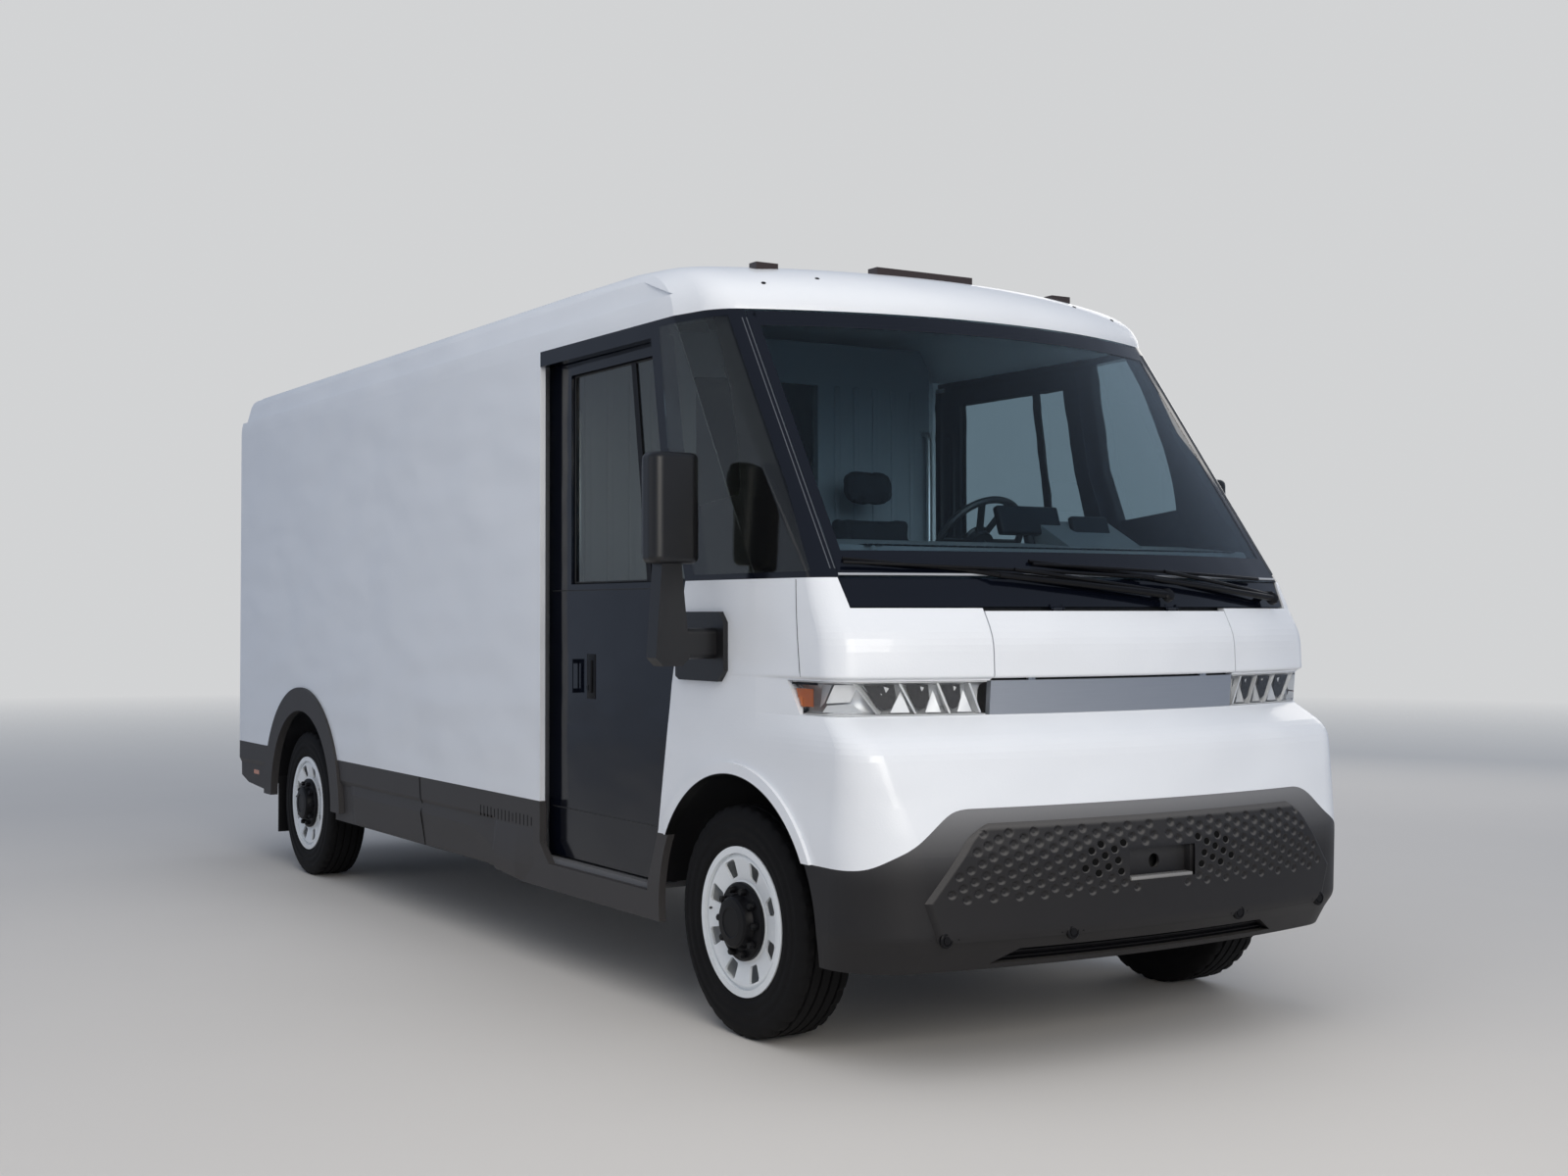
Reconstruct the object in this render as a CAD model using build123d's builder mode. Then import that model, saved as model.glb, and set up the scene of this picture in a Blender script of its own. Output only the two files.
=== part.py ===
from build123d import *

import os
from math import cos, radians, sin, sqrt
from typing import NamedTuple

os.makedirs("parts", exist_ok=True)

# Electric cargo van with a walk-in cab. Millimetres, +Z up, front towards -Y, the van's right side
# at -X. The origin is on the ground below the middle of the van's length and width.

# ---- driving dimensions -------------------------------------------------------------------------

wheelbase = 4661.0
front_overhang = 952.0  # front axle to the bumper's face
rear_overhang = 1229.0  # rear axle to the rear bumper's face
body_half = 1125.0  # half the width over the side panels
crown_height = 2860.0  # roof crown above the ground
eaves_height = 2608.0  # joint of side wall and roof
belt_height = 695.0  # joint of white panel and lower cladding
floor_height = 735.0  # cargo and cab floor
deck_thickness = 45.0
wall_thickness = 50.0  # side wall
roof_thickness = 40.0
panel_thickness = 30.0  # fascia, cladding
glass_thickness = 8.0
pillar_thickness = 50.0
seam = 5.0  # gap around moving panels
slide_gap = 0.4  # gap between a guide and its rail

front_axle = front_overhang - (front_overhang + wheelbase + rear_overhang) / 2
rear_axle = front_axle + wheelbase
rear_end = rear_axle + rear_overhang
bumper_step = 24.0  # rear bumper's face behind the body
body_back = rear_end - bumper_step

# wheels
tyre_radius = 407.0
tyre_width = 225.0
rim_seat_radius = 248.0
rim_thickness = 9.0
rim_lip_radius = 263.0
rim_lip_width = 7.0
wheel_centre = 985.0  # middle plane of each wheel from the middle of the van
disc_offset = 92.0  # wheel disc outside the middle plane
disc_thickness = 9.0
spindle_radius = 40.0
bearing_gap = 0.1
hub_radius = spindle_radius + 44.0
hand_holes = 8

# steering
kingpin_place = 860.0  # kingpin axis from the middle of the van
kingpin_radius = 20.0
fist_radius = kingpin_radius + 22.0
fist_half_height = 52.0
yoke_arm = 36.0  # thickness of the knuckle's arms

# arches
front_arch_radius = 519.0
flare_width = 42.0
flare_stand = 12.0
rear_arch_radius = 528.0
rear_trim_radius = 661.0
rear_trim_stand = 14.0
liner_thickness = 8.0
liner_inner = 600.0  # inner wall of the front wheel boxes
rear_liner_inner = 690.0

# side door, measured behind the front axle along the van
tread_height = 460.0
door_bottom = tread_height + 10.0
door_top = eaves_height - 63.0
door_rear_edge = 1543.0
door_front = [(606.0, door_bottom), (524.0, 676.0), (465.0, 1000.0), (425.0, 1232.0), (321.0, 1622.0),
              (517.0, 2114.0), (596.0, door_top)]
door_face = body_half - 65.0  # door's outer face from the middle of the van
door_thickness = 42.0
door_overlap = 40.0  # door behind the rear jamb
door_travel = 860.0
pocket_skin = 25.0
liner_skin = 18.0
pocket_end = 20.0
pocket_inner = body_half - 140.0
step_thickness = 20.0
sill_height = tread_height - step_thickness

# lower cladding
cladding_bottom = 365.0
sill_bottom = 334.0
tail_bottom = 410.0


def ahead(distance):
    """Place along the van that lies the given distance ahead of the front axle."""
    return front_axle - distance


def behind(distance):
    """Place along the van that lies the given distance behind the front axle."""
    return front_axle + distance


side_front = behind(door_rear_edge)
pocket_back = side_front + door_overlap + door_travel + 22.0

# ---- cab shape ----------------------------------------------------------------------------------


class Level(NamedTuple):
    """Plan outline of the cab at one height."""

    height: float
    nose: float  # centre of the front, ahead of the front axle
    sweep: float  # radius of the front in plan
    narrow: float  # front corners inside the body's side
    corner: float  # corner radius in plan
    bend: float  # place of the bend in the side, ahead of the front axle
    bend_narrow: float  # that bend inside the body's side
    soft: float = 0.0  # run over which the crease at this level is rounded, up and down


top_nose, top_narrow = 44.0, 65.0
screen_top = Level(eaves_height, top_nose, 2430.0, top_narrow, 180.0, -430.0, 13.0)
screen_base = Level(1611.0, 706.0, 3000.0, 25.0, 100.0, 150.0, 5.0)
hood_top = Level(1508.0, 749.0, 3100.0, 17.0, 105.0, 150.0, 5.0)
hood_crease = Level(1410.0, 799.0, 3200.0, 13.0, 110.0, 150.0, 5.0, 45.0)
brow = Level(1281.0, 804.0, 3200.0, 13.0, 110.0, 150.0, 5.0, 7.0)
slot_top = Level(1272.0, 784.0, 3200.0, 33.0, 100.0, 150.0, 6.0)
slot_base = Level(1150.0, 774.0, 3200.0, 35.0, 100.0, 150.0, 6.0)
ridge = Level(1060.0, 864.0, 4750.0, 1.0, 120.0, 150.0, 3.0, 45.0)
nose_foot = Level(870.0, front_overhang - 48, 4750.0, 0.0, 190.0, 150.0, 2.0)
bumper_face = Level(700.0, front_overhang - 16, 4750.0, 0.0, 250.0, 150.0, 2.0, 30.0)
bumper_low = Level(450.0, front_overhang - 20, 4750.0, 3.0, 260.0, 150.0, 3.0, 20.0)
bumper_lip = Level(400.0, front_overhang - 56, 4750.0, 11.0, 260.0, 150.0, 5.0)
bumper_base = Level(sill_bottom, front_overhang - 98, 4750.0, 25.0, 240.0, 150.0, 7.0)

crease_steps = 4


def softened(levels):
    """The levels with each soft crease replaced by a curve of closer levels."""
    curved = [levels[0]]
    for above, level, below in zip(levels, levels[1:], levels[2:]):
        if level.soft:
            ends = []
            for other in (above, below):
                length = sqrt((other.height - level.height) ** 2 + (other.nose - level.nose) ** 2)
                ends.append([a + (b - a) * level.soft / length for a, b in zip(level, other)])
            for step in range(crease_steps + 1):
                t = step / crease_steps
                curved.append(Level(*[a * (1 - t) ** 2 + 2 * v * t * (1 - t) + b * t**2
                                      for a, v, b in zip(ends[0], level, ends[1])]))
        else:
            curved.append(level)
    curved.append(levels[-1])
    return curved


nose_levels = softened([screen_base, hood_top, hood_crease, brow, slot_top, slot_base, ridge, nose_foot,
                        bumper_face, bumper_low, bumper_lip, bumper_base])

shoulder_run = 165.0  # how far the roof shoulder comes in from the side
cap_run = 690.0  # how far the cap runs back from the screen's top to the crown
crown_rise = crown_height - eaves_height
crown_steps = [0.0, 0.34, 0.6, 0.78, 0.91, 1.0]  # shares of the rise


def shoulder(share):
    """Elliptic fall-in at a share of the roof's rise, from 0 at the eaves to 1 at the crown."""
    return 1.0 - sqrt(1.0 - min(0.995, share) ** 2)


def cab_outline(level, back, inset=0.0, back_half=body_half):
    """Closed plan outline of the cab at one level, with all its walls moved in by inset."""
    sweep = level.sweep - inset
    half = body_half - level.narrow - inset
    bend_half = body_half - level.bend_narrow - inset
    nose = ahead(level.nose) + inset
    corner_place = nose + sweep - sqrt(sweep**2 - half**2)
    side = [(back_half - inset, back), (bend_half, ahead(level.bend)), (half, corner_place)]
    with BuildSketch(Plane.XY.offset(level.height)) as outline:
        with BuildLine():
            Polyline(*side)
            ThreePointArc((half, corner_place), (0, nose), (-half, corner_place))
            Polyline(*[(-x, y) for x, y in reversed(side)])
            Line((-side[0][0], back), (side[0][0], back))
        make_face()
        front_corners = [v for v in outline.vertices() if abs(v.Y - corner_place) < 0.01]
        fillet(front_corners, max(15.0, level.corner - inset))
    return outline.sketch


def cap_outlines(rise, inset=0.0):
    """Plan outlines of the roof cap, from the eaves up to the given rise above them."""
    outlines = []
    for share in crown_steps:
        fall = shoulder(share)
        level = screen_top._replace(
            height=eaves_height + rise * share,
            nose=top_nose - cap_run * fall,
            sweep=screen_top.sweep - cap_run * fall,
            narrow=top_narrow + shoulder_run * fall,
            bend=screen_top.bend - cap_run * fall,
            bend_narrow=screen_top.bend_narrow + shoulder_run * fall,
        )
        outlines.append(cab_outline(level, side_front, inset, body_half - shoulder_run * fall))
    return outlines


def front_prism(points, depth_from, depth_to):
    """Prism with a front-view outline, mirrored about the middle, between two places along the van."""
    with BuildSketch(Plane.XZ.offset(-depth_to)) as outline:
        with BuildLine():
            Polyline(*points, *[(-x, z) for x, z in reversed(points)], close=True)
        make_face()
    return extrude(outline.sketch, amount=depth_to - depth_from, mode=Mode.PRIVATE)


def side_face(points, place):
    """Face with a side-view outline of (y, z) points, standing at a distance from the middle."""
    with BuildSketch(Plane.YZ.offset(place)) as outline:
        with BuildLine():
            Polyline(*points, close=True)
        make_face()
    return outline.sketch


def side_prism(points, inner, outer):
    """Prism with a side-view outline between two distances from the middle, on the left side."""
    return extrude(side_face(points, inner), amount=outer - inner, mode=Mode.PRIVATE)


def nose_volume(inset):
    """Solid of the nose below the screen, moved in by inset."""
    outlines = [cab_outline(level, side_front, inset) for level in nose_levels]
    return loft(sections=outlines, ruled=True, mode=Mode.PRIVATE)


def screen_volume(inset):
    """Solid of the cab between the screen's base and the eaves, moved in by inset."""
    outlines = [cab_outline(level, side_front, inset) for level in (screen_base, screen_top)]
    return loft(sections=outlines, ruled=True, mode=Mode.PRIVATE)


nose_outer = nose_volume(0)
nose_inner = nose_volume(panel_thickness)
screen_outer = screen_volume(0)

# ---- openings that neighbouring pieces share ----------------------------------------------------

wide = body_half + 200.0  # past both sides
nose_front = ahead(front_overhang + 100.0)  # past the front
axle_height = tyre_radius

screen_edge = [(body_half - 95.0, screen_base.height), (body_half - 156.0, eaves_height)]
pillar_edge = [(body_half - 39.0, screen_base.height), (body_half - 99.0, eaves_height)]
cowl_gap = 6.0  # cowl's face below the panels around it
cowl_base = 1514.0
cowl_edge = [(body_half - 108.0, cowl_base), (body_half - 95.0, screen_base.height)]
hood_half = 560.0
hood_base, hood_lid_top = 1276.0, 1500.0
slot_low, slot_high = 1154.0, 1268.0
lamp_tip_low, lamp_tip_high = 400.0, 330.0  # outer tips of the lamps, ahead of the axle
lamp_inner = 562.0
cladding_step = 667.0  # joint of white fascia and cladding at the wheel
bumper_crest = 862.0

door_opening = [(behind(d), z) for d, z in door_front]
door_opening = ([(behind(door_front[0][0]), sill_height)] + door_opening
                + [(side_front, door_top), (side_front, sill_height)])
quarter_light = [(behind(535.0), 2580.0), (behind(460.0), 2114.0), (behind(266.0), 1632.0),
                 (ahead(450.0), 1632.0), (behind(128.0), 2580.0)]
slot_side = [(nose_front, slot_low), (ahead(lamp_tip_low), slot_low), (ahead(lamp_tip_high), slot_high),
             (nose_front, slot_high)]


def wheel_disc(place, radius, inner, outer):
    """Solid disc about an axle, on the left side, between two distances from the middle."""
    with BuildSketch(Plane.YZ.offset(inner)) as outline:
        with Locations((place, axle_height)):
            Circle(radius)
    return extrude(outline.sketch, amount=outer - inner, mode=Mode.PRIVATE)


def quarter_window():
    """Solid that passes through the left quarter window, behind the screen pillar."""
    pillar = front_prism(pillar_edge, nose_front, behind(1000.0))
    return side_prism(quarter_light, pocket_inner - 85, wide) - pillar


def bumper_region():
    """Everything below the bumper's upper edge, seen from the front."""
    fall = [(body_half - 385, bumper_crest), (body_half - 285, bumper_crest - 28),
            (body_half - 185, bumper_crest - 104), (body_half - 90, bumper_crest - 158),
            (body_half + 5, cladding_step)]
    other_fall = [(-x, z) for x, z in fall]
    with BuildSketch(Plane.XZ.offset(-ahead(300.0))) as outline:
        with BuildLine():
            Line(other_fall[0], fall[0])
            Spline(*fall, tangents=[(1, 0), (1, 0)])
            Polyline(fall[-1], (wide, cladding_step), (wide, 200), (-wide, 200), (-wide, cladding_step),
                     other_fall[-1])
            Spline(*reversed(other_fall), tangents=[(1, 0), (1, 0)])
        make_face()
    return extrude(outline.sketch, amount=front_overhang, mode=Mode.PRIVATE)


below_bumper_edge = bumper_region()

# ---- chassis ------------------------------------------------------------------------------------

rail_inner, rail_outer = 380.0, 450.0
rail_low, rail_high = 500.0, floor_height - deck_thickness
rail_web = 8.0
rail_front, rail_back = ahead(780.0), body_back - 160.0
cross_places = [ahead(700.0), ahead(330.0), behind(620.0), rear_axle - 820.0, rear_axle + 620.0]
beam_half = 600.0
beam_top = bumper_crest - 172.0
beam_depth = 70.0
jack_places = (ahead(691.0), rear_axle - 812.0)
jack_pad = 20.0  # thickness of the jacking pads
tow_height = 653.0
tow_radius = 12.0
tow_depth = 50.0

with BuildPart() as ladder_frame:
    with BuildSketch(Plane.XZ.offset(-rail_front)):
        for side in (-1, 1):
            with Locations((side * (rail_inner + rail_outer) / 2, (rail_low + rail_high) / 2)):
                Rectangle(rail_outer - rail_inner, rail_high - rail_low)
            with Locations((side * ((rail_inner + rail_outer) / 2 - rail_web), (rail_low + rail_high) / 2)):
                Rectangle(rail_outer - rail_inner, rail_high - rail_low - 2 * rail_web, mode=Mode.SUBTRACT)
    extrude(amount=-(rail_back - rail_front))
    for place in cross_places:
        with Locations((0, place, rail_high - 60)):
            Box(2 * rail_outer - 2 * rail_web, 60, 100)
            Box(2 * rail_outer - 2 * rail_web - 1, 44, 84, mode=Mode.SUBTRACT)
    with Locations((0, rail_front - beam_depth / 2, (rail_low + beam_top) / 2)):
        Box(2 * beam_half, beam_depth, beam_top - rail_low)
    for place in jack_places:
        for side in (-1, 1):
            with Locations((side * (rail_inner + rail_outer) / 2, place, rail_low - jack_pad / 2)):
                Box(rail_outer - rail_inner, rail_outer - rail_inner, jack_pad)
    with Locations(Plane((0, rail_front - beam_depth, tow_height), z_dir=(0, -1, 0))):
        Hole(tow_radius, depth=tow_depth)
ladder_frame.part.label = "ladder_frame"
export_step(ladder_frame.part, "parts/ladder_frame.step")

pack_front, pack_back = behind(720.0), rear_axle - 1021.0
pack_low = 300.0
tray_lip = 14.0

with BuildPart() as battery_pack:
    with Locations((0, (pack_front + pack_back) / 2, (pack_low + rail_high - 60) / 2)):
        Box(2 * rail_inner - 16, pack_back - pack_front, rail_high - 60 - pack_low)
    with Locations((0, (pack_front + pack_back) / 2, rail_low - tray_lip / 2)):
        Box(2 * rail_outer, pack_back - pack_front, tray_lip)
battery_pack.part.label = "battery_pack"
export_step(battery_pack.part, "parts/battery_pack.step")

step_inner = 700.0
step_front, step_back = behind(635.0), behind(door_rear_edge - 43.0)
riser = 12.0
toe_board = ahead(430.0)
box_clear = front_arch_radius + 34.0  # outer radius of the front wheel boxes
rear_box = rear_arch_radius + 2 + liner_thickness

with BuildPart() as floor_deck:
    with BuildSketch(Plane.XY.offset(floor_height - deck_thickness)):
        with BuildLine():
            Polyline((0, toe_board), (liner_inner, toe_board), (liner_inner, behind(box_clear + 2)),
                     (pocket_inner, behind(box_clear + 2)), (pocket_inner, pocket_back + pocket_end),
                     (body_half - wall_thickness, pocket_back + pocket_end),
                     (body_half - wall_thickness, body_back),
                     (0, body_back), close=True)
        make_face()
        with Locations(((step_inner + wide) / 2, (step_front + step_back) / 2)):
            Rectangle(wide - step_inner, step_back - step_front, mode=Mode.SUBTRACT)
        with Locations(((rear_liner_inner + wide) / 2, rear_axle)):
            Rectangle(wide - rear_liner_inner, 2 * rear_box, mode=Mode.SUBTRACT)
        mirror(about=Plane.YZ)
    extrude(amount=deck_thickness)
    # step wells with the sill channels under the doors
    channel_outer = body_half - panel_thickness
    with BuildSketch(Plane.XY.offset(tread_height - step_thickness)):
        for side in (-1, 1):
            with Locations((side * (step_inner - riser + channel_outer) / 2, (step_front + step_back) / 2)):
                Rectangle(channel_outer - step_inner + riser, step_back - step_front + 2 * riser)
            with Locations((side * (pocket_inner + channel_outer) / 2, (step_back + pocket_back) / 2)):
                Rectangle(channel_outer - pocket_inner, pocket_back - step_back)
    extrude(amount=step_thickness)
    with BuildSketch(Plane.XY.offset(tread_height)):
        for side in (-1, 1):
            with Locations((side * (step_inner - riser / 2), (step_front + step_back) / 2)):
                Rectangle(riser, step_back - step_front + 2 * riser)
            for place in (step_front - riser / 2, step_back + riser / 2):
                with Locations((side * (step_inner + pocket_inner) / 2, place)):
                    Rectangle(pocket_inner - step_inner, riser)
    extrude(amount=floor_height - deck_thickness - tread_height)
floor_deck.part.label = "floor_deck"
export_step(floor_deck.part, "parts/floor_deck.step")

# ---- load body ----------------------------------------------------------------------------------

track_low, track_high = eaves_height - 30.0, eaves_height
track_inner, track_outer = door_face - door_thickness, body_half - pocket_skin
arch_cut = rear_trim_radius

with BuildPart() as side_walls:
    with BuildSketch(Plane.YZ.offset(body_half - wall_thickness)):
        with BuildLine():
            Polyline((side_front, belt_height), (body_back, belt_height), (body_back, eaves_height),
                     (side_front, eaves_height), close=True)
        make_face()
    extrude(amount=wall_thickness)
    with Locations((body_half - wall_thickness, (side_front + pocket_back) / 2,
                    (belt_height + eaves_height) / 2)):
        Box(2 * (wall_thickness - pocket_skin), pocket_back - side_front, eaves_height - belt_height + 2,
            mode=Mode.SUBTRACT)
    with BuildSketch(Plane.XY.offset(tread_height)):
        with Locations((pocket_inner + liner_skin / 2, (side_front + pocket_back) / 2)):
            Rectangle(liner_skin, pocket_back - side_front)
    extrude(amount=eaves_height - tread_height)
    with BuildSketch(Plane.XY.offset(tread_height)):
        with Locations(((pocket_inner + body_half - wall_thickness) / 2, pocket_back + pocket_end / 2)):
            Rectangle(body_half - wall_thickness - pocket_inner, pocket_end)
    extrude(amount=eaves_height - tread_height)
    with BuildSketch(Plane.XY.offset(tread_height)):
        with Locations((body_half - (wall_thickness + panel_thickness) / 2, pocket_back + pocket_end / 2)):
            Rectangle(wall_thickness - panel_thickness, pocket_end)
    extrude(amount=belt_height - tread_height)
    with Locations(((pocket_inner + track_outer) / 2, (side_front + pocket_back) / 2,
                    (track_low + track_high) / 2)):
        Box(track_outer - pocket_inner, pocket_back - side_front, track_high - track_low)
    add(wheel_disc(rear_axle, arch_cut, pocket_inner, wide), mode=Mode.SUBTRACT)
    mirror(about=Plane.YZ)
side_walls.part.label = "side_walls"
export_step(side_walls.part, "parts/side_walls.step")

ledge_height = eaves_height + 82.0
ledge_half = body_half - 37.0
dome_half = body_half - 75.0
dome_height = crown_height - 26.0


def roof_section(rise, inset):
    """Cross-section of the roof above the eaves."""
    with BuildSketch(Plane.XZ.offset(-side_front)) as outline:
        with BuildLine():
            points = [(body_half - inset - shoulder_run * shoulder(share), eaves_height + rise * share)
                      for share in crown_steps]
            Spline(*points)
            Spline(*[(-x, z) for x, z in points])
            Line(points[-1], (-points[-1][0], points[-1][1]))
            Line(points[0], (-points[0][0], points[0][1]))
        make_face()
    return outline.sketch


def ledge_groove():
    """Groove that sets the dome back above the ledge along each side of the roof."""
    with BuildSketch(Plane.XZ.offset(-behind(300.0))) as outline:
        with BuildLine():
            Polyline((wide, ledge_height), (body_half - 4, ledge_height), (ledge_half, ledge_height + 10),
                     (dome_half + 12, dome_height - 40), (dome_half - 8, dome_height),
                     (dome_half - 60, dome_height + 17), (dome_half - 60, crown_height + 50),
                     (wide, crown_height + 50), close=True)
        make_face()
    groove = extrude(outline.sketch, amount=-(rear_end - behind(300.0)))
    runout = side_prism([(behind(420.0), ledge_height - 5), (behind(1150.0), crown_height + 60),
                         (rear_end, crown_height + 60), (rear_end, ledge_height - 5)],
                         dome_half - 250, wide + 10)
    return groove & runout


left_groove = ledge_groove()
right_groove = left_groove.mirror(Plane.YZ)

with BuildPart() as roof_shell:
    extrude(roof_section(crown_rise, 0), amount=-(body_back - side_front))
    extrude(roof_section(crown_rise - roof_thickness, roof_thickness),
            amount=-(body_back - roof_thickness - side_front), mode=Mode.SUBTRACT)
    add(left_groove, mode=Mode.SUBTRACT)
    add(right_groove, mode=Mode.SUBTRACT)
roof_shell.part.label = "roof_shell"
export_step(roof_shell.part, "parts/roof_shell.step")

cap_outer = loft(sections=cap_outlines(crown_rise))

with BuildPart() as roof_front_cap:
    add(cap_outer)
    loft(sections=cap_outlines(crown_rise - roof_thickness, roof_thickness), mode=Mode.SUBTRACT)
    add(left_groove, mode=Mode.SUBTRACT)
    add(right_groove, mode=Mode.SUBTRACT)
roof_front_cap.part.label = "roof_front_cap"
export_step(roof_front_cap.part, "parts/roof_front_cap.step")

portal_half = body_half - 220.0
portal_low, portal_high = floor_height + 25.0, eaves_height - 168.0
portal_depth = 70.0

with BuildPart() as rear_frame:
    with BuildSketch(Plane.XZ.offset(-body_back)):
        with Locations((0, (floor_height + eaves_height) / 2)):
            Rectangle(2 * (body_half - wall_thickness), eaves_height - floor_height)
        with Locations((0, (portal_low + portal_high) / 2)):
            Rectangle(2 * portal_half, portal_high - portal_low, mode=Mode.SUBTRACT)
    extrude(amount=portal_depth)
rear_frame.part.label = "rear_frame"
export_step(rear_frame.part, "parts/rear_frame.step")

shutter_thickness = 30.0
shutter_set_back = 22.0
slat_pitch = 210.0
slat_groove = 6.0

with BuildPart() as rollup_door:
    with Locations((0, body_back - shutter_set_back - shutter_thickness / 2, (portal_low + portal_high) / 2)):
        Box(2 * portal_half, shutter_thickness, portal_high - portal_low)
    slats = int((portal_high - portal_low) // slat_pitch)
    with Locations(*[(0, body_back - shutter_set_back, portal_low + slat_pitch * (n + 1))
                     for n in range(slats)]):
        Box(2 * portal_half + 2, 2 * slat_groove, slat_groove, mode=Mode.SUBTRACT)
rollup_door.part.label = "rollup_door"
export_step(rollup_door.part, "parts/rollup_door.step")

bumper_half = body_half - 65.0
bumper_low_edge = rail_low - 30.0

with BuildPart() as rear_bumper:
    with Locations((0, (rail_back + rear_end) / 2, (bumper_low_edge + rail_high) / 2)):
        Box(2 * bumper_half, rear_end - rail_back, rail_high - bumper_low_edge)
    with Locations((0, (rail_back + rear_end) / 2 - 30, (bumper_low_edge + rail_high) / 2 - 30)):
        Box(2 * bumper_half - 60, rear_end - rail_back, rail_high - bumper_low_edge - 20, mode=Mode.SUBTRACT)
    for side in (-1, 1):
        with Locations((side * (rail_inner + rail_outer) / 2, rail_back + 4,
                        (rail_low + rail_high) / 2)):
            Box(rail_outer - rail_inner, 8, rail_high - rail_low)
rear_bumper.part.label = "rear_bumper"
export_step(rear_bumper.part, "parts/rear_bumper.step")

tail_lamp_size = (90.0, 18.0, 300.0)
tail_lamp_place = (body_half - 135.0, 1500.0)

with BuildPart() as tail_lamps:
    for side in (-1, 1):
        with Locations((side * tail_lamp_place[0], body_back + tail_lamp_size[1] / 2, tail_lamp_place[1])):
            Box(*tail_lamp_size)
    fillet(tail_lamps.edges().filter_by(Axis.Y), 12)
tail_lamps.part.label = "tail_lamps"
export_step(tail_lamps.part, "parts/tail_lamps.step")

# ---- cladding -----------------------------------------------------------------------------------

crease_height = 590.0
crease_depth = 14.0
side_marker_place = rear_axle + 905.0
side_marker_height = 518.0
side_marker_size = (110.0, 26.0)
marker_pocket = crease_depth + 12.0

with BuildPart() as skirts:
    with BuildSketch(Plane.YZ.offset(body_half - panel_thickness)):
        with BuildLine():
            Polyline((behind(300.0), sill_bottom), (behind(300.0), cladding_step),
                     (behind(527.0), cladding_step), (behind(door_front[0][0]), door_bottom),
                     (behind(door_front[0][0]), sill_height), (side_front - 86, sill_height),
                     (side_front, sill_height + 80), (side_front, belt_height), (body_back, belt_height),
                     (body_back, 480), (body_back - 141, 443), (rear_axle + 480, tail_bottom),
                     (rear_axle - 480, cladding_bottom), (behind(2130.0), cladding_bottom),
                     (behind(1709.0), sill_bottom), close=True)
        make_face()
    extrude(amount=panel_thickness)
    with BuildSketch(Plane.XZ.offset(-behind(2000.0))):
        with BuildLine():
            Polyline((body_half, crease_height), (body_half - crease_depth, crease_height - 30),
                     (body_half - crease_depth - 6, 300), (wide, 300), (wide, crease_height), close=True)
        make_face()
    extrude(amount=-(rear_end - behind(2000.0)), mode=Mode.SUBTRACT)
    above_hem = side_prism([(rear_axle - 700, tail_bottom), (rear_axle + 700, tail_bottom),
                            (rear_axle + 700, 1200), (rear_axle - 700, 1200)], pocket_inner, wide)
    add(wheel_disc(rear_axle, arch_cut, body_half - panel_thickness, body_half + rear_trim_stand)
        & above_hem)
    add(wheel_disc(rear_axle, rear_trim_radius, body_half, body_half + rear_trim_stand) & above_hem)
    add(wheel_disc(rear_axle, rear_arch_radius, pocket_inner, wide), mode=Mode.SUBTRACT)
    add(wheel_disc(front_axle, front_arch_radius, pocket_inner, wide), mode=Mode.SUBTRACT)
    with Locations((body_half, side_marker_place, side_marker_height)):
        Box(2 * marker_pocket, *side_marker_size, mode=Mode.SUBTRACT)
    mirror(about=Plane.YZ)
skirts.part.label = "skirts"
export_step(skirts.part, "parts/skirts.step")

# ---- cab panels ---------------------------------------------------------------------------------

header_outer = body_half - 53.0  # door rail inside the cab's frame
header_high = eaves_height - 8.0

with BuildPart() as cab_frame:
    add(screen_outer)
    add(screen_volume(pillar_thickness), mode=Mode.SUBTRACT)
    add(front_prism(screen_edge, nose_front, behind(1000.0)), mode=Mode.SUBTRACT)
    for opening in (quarter_window(), side_prism(door_opening, pocket_inner - 85, wide)):
        add(opening, mode=Mode.SUBTRACT)
        add(opening.mirror(Plane.YZ), mode=Mode.SUBTRACT)
    for side in (-1, 1):
        with Locations((side * (track_inner + header_outer) / 2, (behind(620.0) + side_front) / 2,
                        (track_low + header_high) / 2)):
            Box(header_outer - track_inner, side_front - behind(620.0), header_high - track_low)
cab_frame.part.label = "cab_frame"
export_step(cab_frame.part, "parts/cab_frame.step")

with BuildPart() as windshield:
    add(screen_outer)
    add(screen_volume(glass_thickness), mode=Mode.SUBTRACT)
    add(front_prism(screen_edge, nose_front, behind(800.0)), mode=Mode.INTERSECT)
windshield.part.label = "windshield"
export_step(windshield.part, "parts/windshield.step")

with BuildPart() as quarter_glasses:
    add(screen_outer)
    add(screen_volume(glass_thickness), mode=Mode.SUBTRACT)
    add(quarter_window(), mode=Mode.INTERSECT)
    mirror(about=Plane.YZ)
quarter_glasses.part.label = "quarter_glasses"
export_step(quarter_glasses.part, "parts/quarter_glasses.step")

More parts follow.
